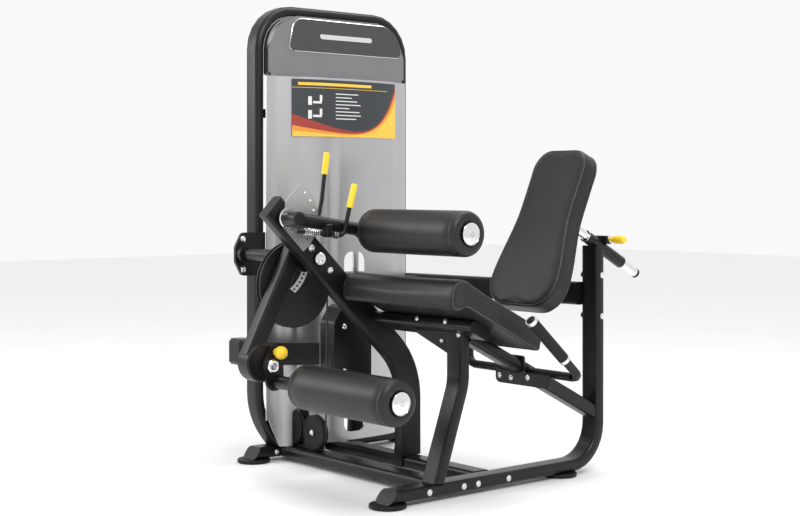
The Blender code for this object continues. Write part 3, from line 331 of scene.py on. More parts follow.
def tube_into(mesh, points, radius, sides=10, closed=False):
    """Round tube along points, its section carried without twist."""
    count = len(points)
    side = (points[1] - points[0]).orthogonal().normalized()
    rings = []
    for index, point in enumerate(points):
        before = points[index - 1] if index or closed else point
        after = points[(index + 1) % count] if index < count - 1 or closed else point
        ahead = (after - before).normalized()
        side = (side - ahead * side.dot(ahead)).normalized()
        ring = circle_points(point, side, ahead.cross(side), radius, sides)
        rings.append([mesh.verts.new(spot) for spot in ring])
    add_ring_faces(mesh, rings, closed)
    return mesh


def tube(points, radius, sides=10, closed=False):
    return tube_into(bmesh.new(), points, radius, sides, closed)


def rounded_outline(corners, radii, steps):
    """Closed flat outline with rounded corners, as (a, b) pairs."""
    outline = []
    corners = [Vector((a, b, 0.0)) for a, b in corners]
    for i, (corner, radius) in enumerate(zip(corners, radii)):
        into = (corner - corners[i - 1]).normalized()
        out = (corners[(i + 1) % len(corners)] - corner).normalized()
        turn = into.angle(out)
        start = corner - into * radius * tan(turn / 2)
        inward = (out - into * into.dot(out)).normalized()
        middle = start + inward * radius
        outline += [(p.x, p.y) for p in arc_points(middle, -inward, into, radius, 0.0, turn, steps)]
    return outline


def bevel_ring(mesh, ring, width, segments):
    rim = [e for e in mesh.edges if all(v in ring for v in e.verts)]
    bmesh.ops.bevel(mesh, geom=rim, offset=width, segments=segments, affect="EDGES")


def front_plate(outline, x_low, x_high, bevel):
    """Plate in the YZ plane whose front edge is bevelled."""
    mesh = bmesh.new()
    rings = [[mesh.verts.new(place(x, y, z)) for y, z in outline] for x in (x_low, x_high)]
    add_ring_faces(mesh, rings, closed=False)
    bevel_ring(mesh, rings[1], bevel, 3)
    return mesh


# ---- stuffed pads -----------------------------------------------------------
PAD_VOXEL = 0.006
PAD_INSET = 0.0030
PAD_CAP = 0.0045
PAD_FRAMES = 20
PAD_PRESSURE = 4.0
HOLD_FROM = 0.2               # a face is held where its normal leans this far towards the mount
HOLD_SPAN = 0.5
WELT_RADIUS = 0.0016
WELT_STAND = 0.2              # share of the welt's radius that its centre stands off the pad
WELT_STEP = 0.006
END_DEPTH = 0.0005
SEAT_WELT_INSET = 0.004
BACK_WELT_INSET = 0.001


def freeze(thing):
    """Apply every modifier of a piece."""
    graph = bpy.context.evaluated_depsgraph_get()
    made = bpy.data.meshes.new_from_object(thing.evaluated_get(graph))
    thing.modifiers.clear()
    thing.data = made


def smooth_mesh(thing, iterations):
    smooth = thing.modifiers.new("smooth", "SMOOTH")
    smooth.factor = 0.5
    smooth.iterations = iterations


def remeshed_copy(node, name):
    """Evenly meshed copy of a CAD pad, covered in vinyl."""
    pad = bpy.data.objects.new(name, NODES[node].data.copy())
    SCENE.collection.objects.link(pad)
    pad.data.materials.clear()
    pad.data.materials.append(VINYL)
    remesh = pad.modifiers.new("remesh", "REMESH")
    remesh.mode = "VOXEL"
    remesh.voxel_size = PAD_VOXEL
    smooth_mesh(pad, 4)
    freeze(pad)
    return pad


def inflate(pad, rest, holds):
    """Swell a pad under pressure, by no more than PAD_CAP from rest and less where it is held."""
    cloth = pad.modifiers.new("cloth", "CLOTH")
    cloth.settings.quality = 5
    cloth.settings.mass = 0.3
    cloth.settings.use_pressure = True
    cloth.settings.uniform_pressure_force = PAD_PRESSURE
    cloth.settings.effector_weights.gravity = 0.0
    cloth.point_cache.frame_start = 1
    cloth.point_cache.frame_end = PAD_FRAMES
    for number in range(1, PAD_FRAMES + 1):
        SCENE.frame_set(number)
    freeze(pad)
    for vertex, start, hold in zip(pad.data.vertices, rest, holds):
        move = vertex.co - start
        if move.length > PAD_CAP:
            move = move.normalized() * PAD_CAP
        vertex.co = start + move * (1 - hold)
    SCENE.frame_set(1)
    smooth_mesh(pad, 8)
    freeze(pad)


def stuffed_pad(node, name, body, backing):
    """Pad swollen by cloth simulation. Its face towards `backing` stays flat."""
    pad = remeshed_copy(node, name)
    rest = []
    holds = []
    for vertex in pad.data.vertices:
        facing = vertex.normal.dot(backing)
        hold = min(1.0, max(0.0, (facing - HOLD_FROM) / HOLD_SPAN))
        rest.append(vertex.co - vertex.normal * PAD_INSET * (1 - hold))
        holds.append(hold)
    for vertex, point in zip(pad.data.vertices, rest):
        vertex.co = point
    inflate(pad, rest, holds)
    subdivide = pad.modifiers.new("subdivide", "SUBSURF")
    subdivide.levels = 1
    subdivide.render_levels = 1
    freeze(pad)
    pad.data.shade_smooth()
    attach(pad, body)
    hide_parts(node)
    return pad


def end_corners(node, direction):
    """Corners of a node's flat end that faces direction, in order round it."""
    mesh = bmesh.new()
    mesh.from_mesh(NODES[node].data)
    bmesh.ops.remove_doubles(mesh, verts=mesh.verts[:], dist=SAME_POINT)
    far = max(v.co.dot(direction) for v in mesh.verts)
    flat = [f for f in mesh.faces if all(v.co.dot(direction) > far - END_DEPTH for v in f.verts)]
    beside = {}
    for edge in mesh.edges:
        if sum(f in flat for f in edge.link_faces) == 1:
            first, second = edge.verts
            beside.setdefault(first.index, []).append(second.index)
            beside.setdefault(second.index, []).append(first.index)
    spots = {v.index: v.co.copy() for v in mesh.verts}
    mesh.free()
    order = [min(beside)]
    while True:
        ahead = [i for i in beside[order[-1]] if i not in order]
        if not ahead:
            return [spots[i] for i in order]
        order.append(ahead[0])


def smooth_ring(ring):
    for _ in range(2):
        ring = [(ring[i - 1] + p * 2 + ring[(i + 1) % len(ring)]) / 4 for i, p in enumerate(ring)]
    return ring


def rim_points(node, direction, inset):
    """Even points round a node's flat end, drawn in by inset."""
    corners = end_corners(node, direction)
    ring = []
    for i, start in enumerate(corners):
        end = corners[(i + 1) % len(corners)]
        steps = max(1, int((end - start).length / WELT_STEP))
        ring.extend(start.lerp(end, step / steps) for step in range(steps))
    drawn = []
    for i, point in enumerate(ring):
        along = ring[(i + 1) % len(ring)] - ring[i - 1]
        drawn.append(point + direction.cross(along).normalized() * inset)
    middle = sum(ring, Vector()) / len(ring)
    if sum((p - middle).length for p in drawn) > sum((p - middle).length for p in ring):
        drawn = [p * 2 - q for p, q in zip(ring, drawn)]     # it grew, so the other side is inward
    return smooth_ring(drawn)


def add_welt(name, pad, ring, body):
    """Piping laid on the pad's final surface. Its paler vinyl is a painted highlight along the pad's edge.
    """
    laid = []
    for point in ring:
        _, spot, normal, _ = pad.closest_point_on_mesh(point)
        laid.append(spot + normal * WELT_RADIUS * WELT_STAND)
    add_piece(name, tube(smooth_ring(laid), WELT_RADIUS, 8, closed=True), PAINTED_HIGHLIGHT_WELT, body)


def make_pads():
    seat = stuffed_pad("seat_pad", "seat_cushion", "frame", -SEAT_UP)
    for side, direction in (("right", X), ("left", -X)):
        add_welt(f"seat_welt_{side}", seat, rim_points("seat_pad", direction, SEAT_WELT_INSET), "frame")
    back = stuffed_pad("backrest_pad", "backrest_cushion", "back_support", BACK_REAR)
    ring = rim_points("backrest_pad", -BACK_REAR, BACK_WELT_INSET)
    add_welt("backrest_welt", back, ring, "back_support")


# ---- foam rollers, with turned profiles as (along, radius) ------------------
ROLLER_DISH = [(0.0060, 0.0140), (0.0060, 0.0340), (0.0025, 0.0372), (0.0, 0.0410)]
ROLLER_EDGE = 0.021
ROLLER_SLACK = 0.0006         # the rounded edge ends this far under the full radius
ROLLER_CROWN = 0.0005
ROLLER_SHARES = (0.12, 0.22, 0.34, 0.46)
SEAM_IN = 0.0012              # from the end of the rounded edge to the seam
SEAM_GROOVE = 0.0016
SEAM_RISE = 0.0014            # from the seam to where the sleeve is full again
SEAM_SUNK = 0.0012
SEAM_RADIUS = 0.0009
CAP_RING = [(0.0, 0.0338), (0.0016, 0.0338), (0.0022, 0.0330), (0.0016, 0.0322), (0.0, 0.0322)]
CAP_SCREW = [(0.0, 0.0085), (0.0024, 0.0085), (0.0032, 0.0076), (0.0032, 0.0042), (0.0012, 0.0040),
             (0.0012, 0.001)]
CAP_SUNK = 0.0030


def roller_profile(radius, length):
    """Dished hub, rounded edge, sewn groove and slight crown, mirrored to the far end."""
    half = ROLLER_DISH + [(0.0, radius - ROLLER_EDGE)]
    for step in range(1, 11):
        angle = radians(9.0 * step)
        rise = (ROLLER_EDGE - ROLLER_SLACK) * sin(angle)
        half.append((ROLLER_EDGE * (1 - cos(angle)), radius - ROLLER_EDGE + rise))
    half.append((ROLLER_EDGE + SEAM_IN, radius - SEAM_GROOVE))
    half.append((ROLLER_EDGE + SEAM_IN + SEAM_RISE, radius - ROLLER_CROWN))
    half += [(length * share, radius - ROLLER_CROWN * (1 - share * 2)) for share in ROLLER_SHARES]
    return half + [(length - along, r) for along, r in reversed(half)]


def make_roller(node, name, body):
    """Foam roller in a sewn vinyl sleeve."""
    low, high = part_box(node)
    middle = (low + high) / 2
    radius = (high.z - low.z) / 2
    length = high.x - low.x
    base = Vector((low.x, middle.y, middle.z))
    mesh = turned(roller_profile(radius, length), base, X, 72, closed=True)
    roller = add_piece(name, mesh, VINYL, body, smooth=False)
    roller.data.shade_smooth()
    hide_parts(node)
    seam_in = ROLLER_EDGE + SEAM_IN
    for end, along in (("left", seam_in), ("right", length - seam_in)):
        # sewn seam in the paler piping vinyl: the seam is real, its paleness paints a highlight ring near
        # each end
        seam = circle_points(base + X * along, Y, Z, radius - SEAM_SUNK, 90)
        add_piece(f"{name}_seam_{end}", tube(seam, SEAM_RADIUS, 6, closed=True), PAINTED_HIGHLIGHT_WELT, body)


def make_cap_detail(node, body):
    """Turned ring and socket screw on a roller's chrome end cap."""
    low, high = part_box(node)
    middle = (low + high) / 2
    face = Vector((low.x + CAP_SUNK, middle.y, middle.z))
    add_piece(f"{node}_ring", turned(CAP_RING, face, X, 48, closed=True), CHROME, body)
    tip = Vector((high.x - CAP_SUNK, middle.y, middle.z))
    add_piece(f"{node}_screw", turned(CAP_SCREW, tip, X, 24), STEEL, body)


# ---- fasteners --------------------------------------------------------------
FLOOR_BOLT_Z = 0.0323
RAIL_FACE = 0.0382
RAIL_BOLTS_Y = (0.0290, 0.1700, 0.2300, 0.3620)
POST_BOLTS_Z = (0.5220, 0.6600)
POST_BOLT_RIGHT_Y = 0.8020
POST_BOLT_LEFT_Y = 0.7900
ARCH_FACE = -0.3758
ARCH_BOLTS = (("upper", -0.1080, 0.7640, 0.0095), ("lower", -0.0330, 0.6890, 0.0090),
              ("small", -0.1260, 0.7840, 0.0050))
CROSS_TUBE = place(0.0, 0.1760, 0.5170)
CROSS_TUBE_HALF = 0.0442
CROSS_TUBE_BOLTS_X = (-0.1470, -0.0130)
CROSS_TUBE_BOLT_UP = 0.004
POST_TOP_BOLTS = ((0.0240, 0.1593, 0.5000), (-0.0560, 0.1613, 0.4760))
BEARING_BOLT = (-0.8000, -0.0870)
BEARING_BOLTS_Z = (0.6750, 0.7790)
GUARD_BOLT = (-0.5300, 0.1420)
GUARD_BOLTS_Z = (("upper", 0.4860), ("lower", 0.3350))
BASE_BOLT = (-0.8118, 0.0640)
PLATE_FACE = 0.4298
PLATE_BOLTS = ((0.0560, 0.3480), (-0.0200, 0.3410), (-0.0720, 0.3440))
RIDGE_RADII = (0.0330, 0.0500)
RIDGE_SUNK = 0.0012
PULLEY_BOLT_AHEAD = 0.0050
SHAFT_CAP = [(0.0, 0.0200), (0.0030, 0.0200), (0.0045, 0.0185), (0.0045, 0.0110), (0.0030, 0.0095),
             (0.0030, 0.001)]
CRANK_SOCKET = [(-0.0002, 0.0120), (0.0020, 0.0120), (0.0028, 0.0105), (0.0028, 0.0060),
                (0.0008, 0.0058), (0.0008, 0.001)]


def add_bolt(name, spot, axis, body, radius):
    """Domed socket-head bolt on a washer, standing on the face at spot."""
    mesh = bmesh.new()
    washer = [(0.0, radius * 1.25), (0.0014, radius * 1.25), (0.0018, radius * 1.18), (0.0018, radius * 0.5)]
    turn_into(mesh, washer, spot, axis, 28)
    seat = 0.0016
    dome = [(seat, radius)]
    for step in range(1, 6):
        angle = radians(14.0 * step)
        dome.append((seat + radius * 0.55 * sin(angle), radius * (0.32 + 0.68 * cos(angle))))
    top = dome[-1][0]
    socket_floor = top - radius * 0.35
    dome += [(top, radius * 0.40), (socket_floor, radius * 0.38), (socket_floor, radius * 0.05)]
    turn_into(mesh, dome, spot, axis, 28)
    add_piece(name, mesh, CHROME, body)


def add_rail_and_post_bolts():
    for i, y in enumerate(RAIL_BOLTS_Y):
        add_bolt(f"rail_bolt_{i}", place(RAIL_FACE, y, FLOOR_BOLT_Z), X, "frame", 0.0080)
    for i, z in enumerate(POST_BOLTS_Z):
        add_bolt(f"post_bolt_right_{i}", place(RAIL_FACE, POST_BOLT_RIGHT_Y, z), X, "frame", 0.0080)
        add_bolt(f"post_bolt_left_{i}", place(-RAIL_FACE, POST_BOLT_LEFT_Y, z), -X, "frame", 0.0080)


def add_seat_frame_bolts():
    for name, y, z, radius in ARCH_BOLTS:
        add_bolt(f"arch_bolt_{name}", place(ARCH_FACE, y, z), X, "frame", radius)
    for i, x in enumerate(CROSS_TUBE_BOLTS_X):
        spot = CROSS_TUBE + X * x - SEAT_BACK * CROSS_TUBE_HALF + SEAT_UP * CROSS_TUBE_BOLT_UP
        add_bolt(f"cross_tube_bolt_{i}", spot, -SEAT_BACK, "frame", 0.0075)
    for i, spot in enumerate(POST_TOP_BOLTS):
        add_bolt(f"post_top_bolt_{i}", place(*spot), -Y, "frame", 0.0065)


def add_tower_bolts():
    for i, z in enumerate(BEARING_BOLTS_Z):
        add_bolt(f"bearing_bolt_{i}", place(*BEARING_BOLT, z), X, "frame", 0.0085)
    for name, z in GUARD_BOLTS_Z:
        add_bolt(f"guard_bolt_{name}", place(*GUARD_BOLT, z), X, "frame", 0.0075)
    add_bolt("base_bolt", place(*BASE_BOLT, FLOOR_BOLT_Z), X, "frame", 0.0080)
    for i, (x, z) in enumerate(PLATE_BOLTS):
        add_bolt(f"plate_bolt_{i}", place(x, PLATE_FACE, z), -Y, "frame", 0.0070)


def add_pulley_details():
    """Moulded ridges and an axle bolt on each floor pulley's front face."""
    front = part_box("floor_pulley_outer")[0].y
    for name in ("outer", "inner"):
        middle = centre(f"floor_pulley_{name}")
        hub = Vector((middle.x, front + RIDGE_SUNK, middle.z))
        mesh = bmesh.new()
        for reach in RIDGE_RADII:
            ridge = [(0.0, reach + 0.0028), (0.0018, reach + 0.0022), (0.0018, reach - 0.0022),
                     (0.0, reach - 0.0028)]
            turn_into(mesh, ridge, hub, -Y, 56, closed=True)
        add_piece(f"pulley_ridges_{name}", mesh, RUBBER, f"{name}_wheel")
        spot = Vector((middle.x, front - PULLEY_BOLT_AHEAD, middle.z))
        add_bolt(f"pulley_bolt_{name}", spot, -Y, "frame", 0.0080)


def add_pivot_caps():
    end = Vector((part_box("knee_shaft")[1].x, KNEE.y, KNEE.z))
    add_piece("knee_shaft_cap", turned(SHAFT_CAP, end, X, 40), CHROME, "cam")
    middle = centre("crank_bolt")
    face = Vector((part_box("crank_bolt")[1].x, middle.y, middle.z))
    add_piece("crank_bolt_socket", turned(CRANK_SOCKET, face, X, 28), STEEL, "lever")


# ---- tower badge ------------------------------------------------------------
HEAD_FRONT = -0.7949
BADGE_CORNERS = [(0.1000, 1.4380), (0.6080, 1.4380), (0.6080, 1.5500), (0.1240, 1.5520)]
BADGE_RADII = [0.018, 0.018, 0.092, 0.046]
BADGE_THICK = 0.0060
BAR_CORNERS = [(0.2350, 1.4850), (0.4700, 1.4850), (0.4700, 1.5020), (0.2350, 1.5020)]
BAR_RADII = [0.008] * 4
BAR_BACK = 0.0055
BAR_FRONT = 0.0080
RIM_RADIUS = 0.0022
RIM_AHEAD = 0.0016


def make_badge():
    outline = rounded_outline(BADGE_CORNERS, BADGE_RADII, 10)
    plate = front_plate(outline, HEAD_FRONT, HEAD_FRONT + BADGE_THICK, 0.0025)
    add_piece("head_badge", plate, BADGE, "frame")
    rim = [place(HEAD_FRONT + RIM_AHEAD, y, z) for y, z in outline]
    add_piece("head_badge_rim", tube(rim, RIM_RADIUS, 8, closed=True), CHROME, "frame")
    outline = rounded_outline(BAR_CORNERS, BAR_RADII, 6)
    bar = front_plate(outline, HEAD_FRONT + BAR_BACK, HEAD_FRONT + BAR_FRONT, 0.0008)
    add_piece("head_badge_bar", bar, CHROME, "frame")


# ---- placard ----------------------------------------------------------------
SHROUD_X = -0.7860
SHROUD_MIDDLE = 0.3410
SHROUD_HALF = 0.300
SHROUD_BULGE = 0.060
PLACARD_LIFT = 0.0012
PLACARD_LOW_Y, PLACARD_HIGH_Y = 0.0900, 0.5420
PLACARD_LOW_Z, PLACARD_HIGH_Z = 1.1350, 1.3350
PLACARD_THICK = 0.0008
INK_THICK = 0.0003
INK_LIFT = (0.0009, 0.0013, 0.0017, 0.0021)     # one height for each layer of ink
TITLE_BAR = (0.020, 0.125, 0.021, 0.011)        # in from left and right, down to foot and head
TITLE_LINE = (0.0, 0.045, 0.0300, 0.0284)
TEXT_WIDTHS = (0.100, 0.070, 0.095, 0.110, 0.060, 0.105, 0.112, 0.090)
TEXT_LEFT = 0.165
TEXT_DROP = 0.050
TEXT_PITCH = 0.0125
TEXT_HIGH = 0.0034
FIGURE_LEFT = 0.085
FIGURE_DROPS = (0.072, 0.120)
FIGURE_BARS = ((-0.030, -0.016, -0.018, 0.012), (-0.012, 0.022, -0.012, -0.004),
               (0.014, 0.024, -0.004, 0.018))   # left, right, foot, head


def placard_x(y):
    """The placard bends with the shroud but bridges its flutes."""
    share = min(1.0, abs(y - SHROUD_MIDDLE) / SHROUD_HALF)
    return SHROUD_X + SHROUD_BULGE * (1 - share ** 3) + PLACARD_LIFT


def decal_into(mesh, y_low, y_high, low, high, lift, thick=INK_THICK):
    """Thin printed patch between two height curves low(y) and high(y)."""
    steps = max(2, int((y_high - y_low) / 0.010))
    rings = []
    for i in range(steps + 1):
        y = y_low + (y_high - y_low) * i / steps
        face = placard_x(y) + lift
        ring = [place(face, y, low(y)), place(face + thick, y, low(y)),
                place(face + thick, y, high(y)), place(face, y, high(y))]
        rings.append([mesh.verts.new(p) for p in ring])
    add_ring_faces(mesh, rings, closed=False)
    return mesh


def level(z):
    return lambda y: z


def swoosh(depth, reach):
    """Height of a curve that dips from the left edge and climbs to the right."""
    def height(y):
        share = (y - PLACARD_LOW_Y) / (PLACARD_HIGH_Y - PLACARD_LOW_Y)
        return PLACARD_LOW_Z + depth * (1 - share) ** 2 + reach * share ** 6
    return height


def bar_into(mesh, y_low, y_high, z_low, z_high, layer):
    decal_into(mesh, y_low, y_high, level(z_low), level(z_high), INK_LIFT[layer])


def make_placard_curves():
    curves = (
        ("red", RED_INK, swoosh(0.022, 0.100), swoosh(0.078, 0.190)),
        ("orange", ORANGE_INK, swoosh(0.012, 0.060), swoosh(0.038, 0.170)),
        ("yellow", YELLOW_INK, level(PLACARD_LOW_Z), swoosh(0.020, 0.140)),
    )
    for layer, (name, ink, lower, upper) in enumerate(curves):
        mesh = decal_into(bmesh.new(), PLACARD_LOW_Y, PLACARD_HIGH_Y, lower, upper, INK_LIFT[layer])
        add_piece(f"placard_curve_{name}", mesh, ink, "frame", smooth=False)


def make_placard():
    """Panel with simple curves and blank blocks in place of a title, text and figures."""
    mesh = decal_into(bmesh.new(), PLACARD_LOW_Y, PLACARD_HIGH_Y, level(PLACARD_LOW_Z),
                      level(PLACARD_HIGH_Z), 0.0, PLACARD_THICK)
    add_piece("placard_panel", mesh, PANEL_INK, "frame", smooth=False)
    make_placard_curves()
    mesh = bmesh.new()
    for left, right, foot, head in (TITLE_BAR, TITLE_LINE):
        bar_into(mesh, PLACARD_LOW_Y + left, PLACARD_HIGH_Y - right, PLACARD_HIGH_Z - foot,
                 PLACARD_HIGH_Z - head, 0)
    add_piece("placard_header", mesh, YELLOW_INK, "frame", smooth=False)
    mesh = bmesh.new()
    y = PLACARD_LOW_Y + TEXT_LEFT
    for row, width in enumerate(TEXT_WIDTHS):
        z = PLACARD_HIGH_Z - TEXT_DROP - row * TEXT_PITCH
        bar_into(mesh, y, y + width, z, z + TEXT_HIGH, 3)
    y = PLACARD_LOW_Y + FIGURE_LEFT
    for drop in FIGURE_DROPS:
        z = PLACARD_HIGH_Z - drop
        for left, right, foot, head in FIGURE_BARS:
            bar_into(mesh, y + left, y + right, z + foot, z + head, 3)
    add_piece("placard_blocks", mesh, WHITE_INK, "frame", smooth=False)


# ---- cam label --------------------------------------------------------------
LABEL_TOP = place(0.0, -0.0400, 0.6940)
LABEL_FOOT = place(0.0, -0.0930, 0.6190)
LABEL_BOW = 0.0080
LABEL_HALF = 0.0120
LABEL_THICK = 0.0006
LABEL_STEPS = 12
MARK_RADIUS = 0.0042


def make_cam_label():
    """Pale index label on the cam's face: a bowed strip with round marks."""
    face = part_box("cam_disc")[1].x + 0.0002
    out = (LABEL_FOOT - LABEL_TOP).normalized().cross(X)
    lift = X * LABEL_THICK
    spine = []
    for i in range(LABEL_STEPS + 1):
        share = i / LABEL_STEPS
        bow = LABEL_BOW * (1 - (2 * share - 1) ** 2)
        spot = LABEL_TOP.lerp(LABEL_FOOT, share) - out * bow
        spine.append(Vector((face, spot.y, spot.z)))
    mesh = bmesh.new()
    rings = []
    for spot in spine:
        near, far = spot - out * LABEL_HALF, spot + out * LABEL_HALF
        rings.append([mesh.verts.new(p) for p in (near, near + lift, far + lift, far)])
    add_ring_faces(mesh, rings, closed=False)
    add_piece("cam_label", mesh, WHITE_INK, "cam", smooth=False)
    mesh = bmesh.new()
    for spot in spine[1:LABEL_STEPS:2]:
        turn_into(mesh, [(0.0, MARK_RADIUS), (LABEL_THICK, MARK_RADIUS)], spot + lift, X, 14)
    add_piece("cam_label_marks", mesh, PANEL_INK, "cam", smooth=False)


# ---- cables -----------------------------------------------------------------
ROPE_SHARE = 0.96             # of the CAD cable's radius
LANYARD_WIRE = 0.0011
LANYARD_SLACK = 0.0012
LANYARD_TURNS = 17
DRIVE_RADIUS = 0.0032
DRIVE_DROP = 0.04
GROOVE_RADIUS = 0.0575
CAM_RIM_INSET = 0.0040
CAM_LEAVES_BELOW = 0.0300


def replace_with_shortening(piece, node):
    """Stand a piece in for a cable node: hide the node and give the piece its own mesh."""
    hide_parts(node)
    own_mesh(piece)


def make_stack_cables():
    low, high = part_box("lift_cable")
    middle = (low + high) / 2
    line = [middle + Z * (low.z - middle.z + (high.z - low.z) * i / 24) for i in range(25)]
    mesh = tube(line, (high.x - low.x) / 2 * ROPE_SHARE, 12)
    replace_with_shortening(add_piece("lift_rope", mesh, CABLE, "frame"), "lift_cable")

    low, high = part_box("selector_lanyard")
    middle = (low + high) / 2
    foot = Vector((middle.x, middle.y, low.z))
    coil = helix(foot, Z, high.z - low.z, (high.x - low.x) / 2 - LANYARD_SLACK, LANYARD_TURNS)
    mesh = tube(coil, LANYARD_WIRE, 6)
    replace_with_shortening(add_piece("lanyard_coil", mesh, CABLE, "frame"), "selector_lanyard")


def make_drive_cable():
    """Over the top pulley, down, under both floor pulleys and up to the cam's rim."""
    wheel = centre("top_pulley")
    reach = centre("selector_lanyard").y - wheel.y
    route = arc_points(wheel, Y, Z, reach, 0.0, pi, 28)
    down_y = route[-1].y
    route += [Vector((wheel.x, down_y, wheel.z - DRIVE_DROP * i)) for i in range(1, 28)]
    inner, outer = centre("floor_pulley_inner"), centre("floor_pulley_outer")
    route += arc_points(inner, X, Z, GROOVE_RADIUS, pi, 1.5 * pi, 12)
    route += arc_points(outer, X, Z, GROOVE_RADIUS, 1.5 * pi, 2 * pi, 12)
    cam = centre("cam_disc")
    rim = Vector((cam.x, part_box("cam_disc")[1].y - CAM_RIM_INSET, cam.z - CAM_LEAVES_BELOW))
    start = route[-1]
    route += [start.lerp(rim, i / 12) for i in range(1, 13)]
    add_piece("drive_cable", tube(route, DRIVE_RADIUS, 10), CABLE, "frame")


# ---- thigh hub and release --------------------------------------------------
RELEASE_START = place(-0.2920, -0.2300, 0.8225)
RELEASE_END = place(-0.2920, -0.0450, 0.8020)
SPRING_AT = 0.0300
SPRING_LENGTH = 0.0600
SPRING_RADIUS = 0.0108
SPRING_WIRE = 0.0013
SPRING_TURNS = 8
RELEASE_NUTS_AT = (0.1440, 0.1530)
RELEASE_NUT = [(0.0, 0.0074), (0.0, 0.0125), (0.0056, 0.0125), (0.0056, 0.0074)]
HUB_COLLAR = [(0.0145, 0.0218), (0.0145, 0.0310), (0.0175, 0.0325), (0.0215, 0.0310), (0.0215, 0.0218)]
HUB_CAP = [(0.0, 0.0212), (0.0030, 0.0212), (0.0045, 0.0195), (0.0050, 0.0120), (0.0040, 0.0010)]
HUB_LENGTH = 0.0762


def make_release_details():
    along = (RELEASE_END - RELEASE_START).normalized()
    start = RELEASE_START + along * SPRING_AT
    spring = helix(start, along, SPRING_LENGTH, SPRING_RADIUS, SPRING_TURNS)
    add_piece("thigh_release_spring", tube(spring, SPRING_WIRE, 6), CHROME, "thigh_release")
    mesh = bmesh.new()
    for offset in RELEASE_NUTS_AT:
        turn_into(mesh, RELEASE_NUT, RELEASE_START + along * offset, along, 6, closed=True)
    add_piece("thigh_release_nuts", mesh, CHROME, "thigh_release")


def make_hub_details():
    hub = Vector((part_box("thigh_arm")[0].x, THIGH_HUB.y, THIGH_HUB.z))
    add_piece("thigh_hub_collar", turned(HUB_COLLAR, hub, X, 40, closed=True), CHROME, "thigh_holder")
    add_piece("thigh_hub_cap", turned(HUB_CAP, hub + X * HUB_LENGTH, X), RUBBER, "thigh_holder")


# ---- hand grips -------------------------------------------------------------
GRIPS = (
    ("right", place(0.2500, 0.3880, 0.4310), place(0.2500, 0.2560, 0.5480)),
    ("left", place(-0.4200, 0.3880, 0.4850), place(-0.4200, 0.2560, 0.5600)),
)
GRIP_BAND = [(0.0, 0.0178), (0.0008, 0.0180), (0.0110, 0.0180), (0.0118, 0.0178), (0.0118, 0.0150),
             (0.0110, 0.0150), (0.0008, 0.0150), (0.0, 0.0150)]
GRIP_PLUG = [(0.0004, 0.0146), (0.0100, 0.0146), (0.0112, 0.0130), (0.0112, 0.0010)]
BAND_BELOW = 0.0122
BAND_ABOVE = 0.0004
RIB_START = 0.0180
RIB_PITCH = 0.0040
RIB_CLEAR = 0.0320            # no rib is nearer than this to the grip's top
RIBS_MOST = 30
RIB_RING = 0.0174
RIB_RADIUS = 0.0006


def make_grip_details(side, foot, head):
    """Chrome band at each end of a hand grip, a plug in its top and ribs round it."""
    rise = (head - foot).normalized()
    for name, spot in (("lower", foot - rise * BAND_BELOW), ("upper", head + rise * BAND_ABOVE)):
        mesh = turned(GRIP_BAND, spot, rise, 32, closed=True)
        add_piece(f"{side}_grip_band_{name}", mesh, CHROME, "frame")
    add_piece(f"{side}_grip_plug", turned(GRIP_PLUG, head, rise), RUBBER, "frame")
    one, two = side_pair(rise)
    length = (head - foot).length
    mesh = bmesh.new()
    for i in range(RIBS_MOST):
        along = RIB_START + RIB_PITCH * i
        if length - along < RIB_CLEAR:
            break
        rib = circle_points(foot + rise * along, one, two, RIB_RING, 28)
        tube_into(mesh, rib, RIB_RADIUS, 6, closed=True)
    add_piece(f"{side}_grip_ribs", mesh, RUBBER, "frame")


# ---- backrest slide ---------------------------------------------------------
SLEEVE_RING = [(-0.0035, 0.0166), (-0.0035, 0.0205), (-0.0020, 0.0215), (-0.0004, 0.0205),
               (-0.0004, 0.0166)]
SLIDE_BAND = [(-0.0110, 0.0150), (-0.0110, 0.0164), (-0.0024, 0.0166), (-0.0014, 0.0162),
              (-0.0014, 0.0150)]
PIN_NUT = [(0.0006, 0.0092), (0.0006, 0.0135), (0.0080, 0.0135), (0.0080, 0.0092)]
BRACKET_ASIDE = 0.0200
BRACKET_UP = 0.2250
BRACKET_REAR = 0.0752
BRACKET_HALF = (0.0508, 0.1158, 0.0044)
BRACKET_BOLT = (0.0360, 0.0980)


def make_slide_details():
    mesh = turned(SLEEVE_RING, SLIDE_START, SLIDE_BACK, 36, closed=True)
    add_piece("sleeve_ring", mesh, CHROME, "frame")
    mesh = turned(SLIDE_BAND, SLIDE_START + SLIDE_BACK * SLIDE_LENGTH, SLIDE_BACK, 32, closed=True)
    add_piece("slide_end_band", mesh, RUBBER, "back_support")
    pin = centre("backrest_pin")
    base = Vector((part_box("backrest_pin")[0].x, pin.y, pin.z))
    add_piece("backrest_pin_nut", turned(PIN_NUT, base, X, 6, closed=True), CHROME, "back_pin")


def make_back_bracket():
    """Painted cover over the plate that bolts the slide to the backrest."""
    middle = BACK_FOOT + X * BRACKET_ASIDE + BACK_UP * BRACKET_UP + BACK_REAR * BRACKET_REAR
    half_x, half_up, half_rear = BRACKET_HALF
    mesh = bmesh.new()
    rings = []
    for depth in (-half_rear, half_rear):
        corners = [middle + X * half_x * x + BACK_UP * half_up * s + BACK_REAR * depth for x, s in SQUARE]
        rings.append([mesh.verts.new(corner) for corner in corners])
    add_ring_faces(mesh, rings, closed=False)
    bevel_ring(mesh, rings[1], 0.0008, 2)
    add_piece("backrest_bracket", mesh, COAT, "back_support")
    bolt_x, bolt_up = BRACKET_BOLT
    for i, (x, s) in enumerate(((-1, -1), (1, -1), (-1, 1), (1, 1))):
        spot = middle + X * bolt_x * x + BACK_UP * bolt_up * s + BACK_REAR * half_rear
        add_bolt(f"backrest_bolt_{i}", spot, BACK_REAR, "back_support", 0.0060)


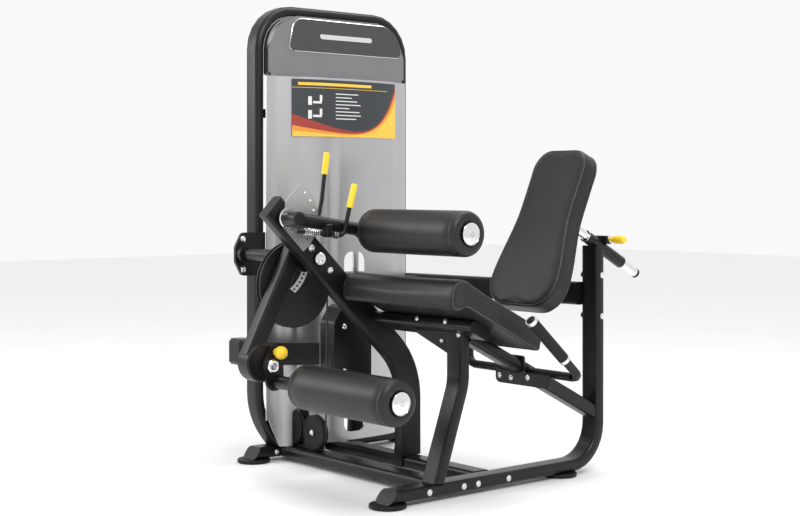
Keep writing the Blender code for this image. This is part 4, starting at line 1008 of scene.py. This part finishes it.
# ---- studio -----------------------------------------------------------------
FLOOR_REACH = 14.0
FLOOR_Z = -0.0006
WORLD_STRENGTH = 0.95
LIGHTS = (
    ("key", (2.6, -1.2, 3.4), (0.0, 0.0, 0.7), (1.6, 1.6), 70.0),
    ("left_fill", (-2.8, -3.0, 2.2), (-0.2, 0.0, 0.8), (2.0, 2.0), 55.0),
    ("top_strip", (0.0, 0.6, 3.6), (0.0, 0.0, 0.6), (0.8, 2.8), 45.0),
)


def make_floor():
    mesh = bmesh.new()
    mesh.faces.new([mesh.verts.new((a * FLOOR_REACH, b * FLOOR_REACH, FLOOR_Z)) for a, b in SQUARE])
    data = bpy.data.meshes.new("floor")
    mesh.to_mesh(data)
    mesh.free()
    data.materials.append(FLOOR)
    floor = bpy.data.objects.new("floor", data)
    SCENE.collection.objects.link(floor)


def add_light(name, spot, aim, size, power):
    data = bpy.data.lights.new(name, "AREA")
    data.shape = "RECTANGLE"
    data.size, data.size_y = size
    data.energy = power
    light = bpy.data.objects.new(name, data)
    light.location = spot
    light.rotation_euler = (Vector(aim) - Vector(spot)).to_track_quat("-Z", "Y").to_euler()
    SCENE.collection.objects.link(light)


def make_studio():
    make_floor()
    world = bpy.data.worlds.new("studio")
    world.use_nodes = True
    background = world.node_tree.nodes["Background"]
    background.inputs["Color"].default_value = (1.0, 1.0, 1.0, 1.0)
    background.inputs["Strength"].default_value = WORLD_STRENGTH
    SCENE.world = world
    SCENE.view_settings.view_transform = "Standard"
    for light in LIGHTS:
        add_light(*light)


make_camera()
dress_frame()
make_pads()
make_roller("ankle_roller", "ankle_foam", "ankle_pad")
make_roller("thigh_roller", "thigh_foam", "thigh_pad")
make_cap_detail("ankle_roller_cap", "crank")
make_cap_detail("thigh_roller_cap", "thigh_holder")
add_rail_and_post_bolts()
add_seat_frame_bolts()
add_tower_bolts()
add_pulley_details()
add_pivot_caps()
make_badge()
make_placard()
make_cam_label()
make_stack_cables()
make_drive_cable()
make_release_details()
make_hub_details()
for grip in GRIPS:
    make_grip_details(*grip)
make_slide_details()
make_back_bracket()
make_studio()
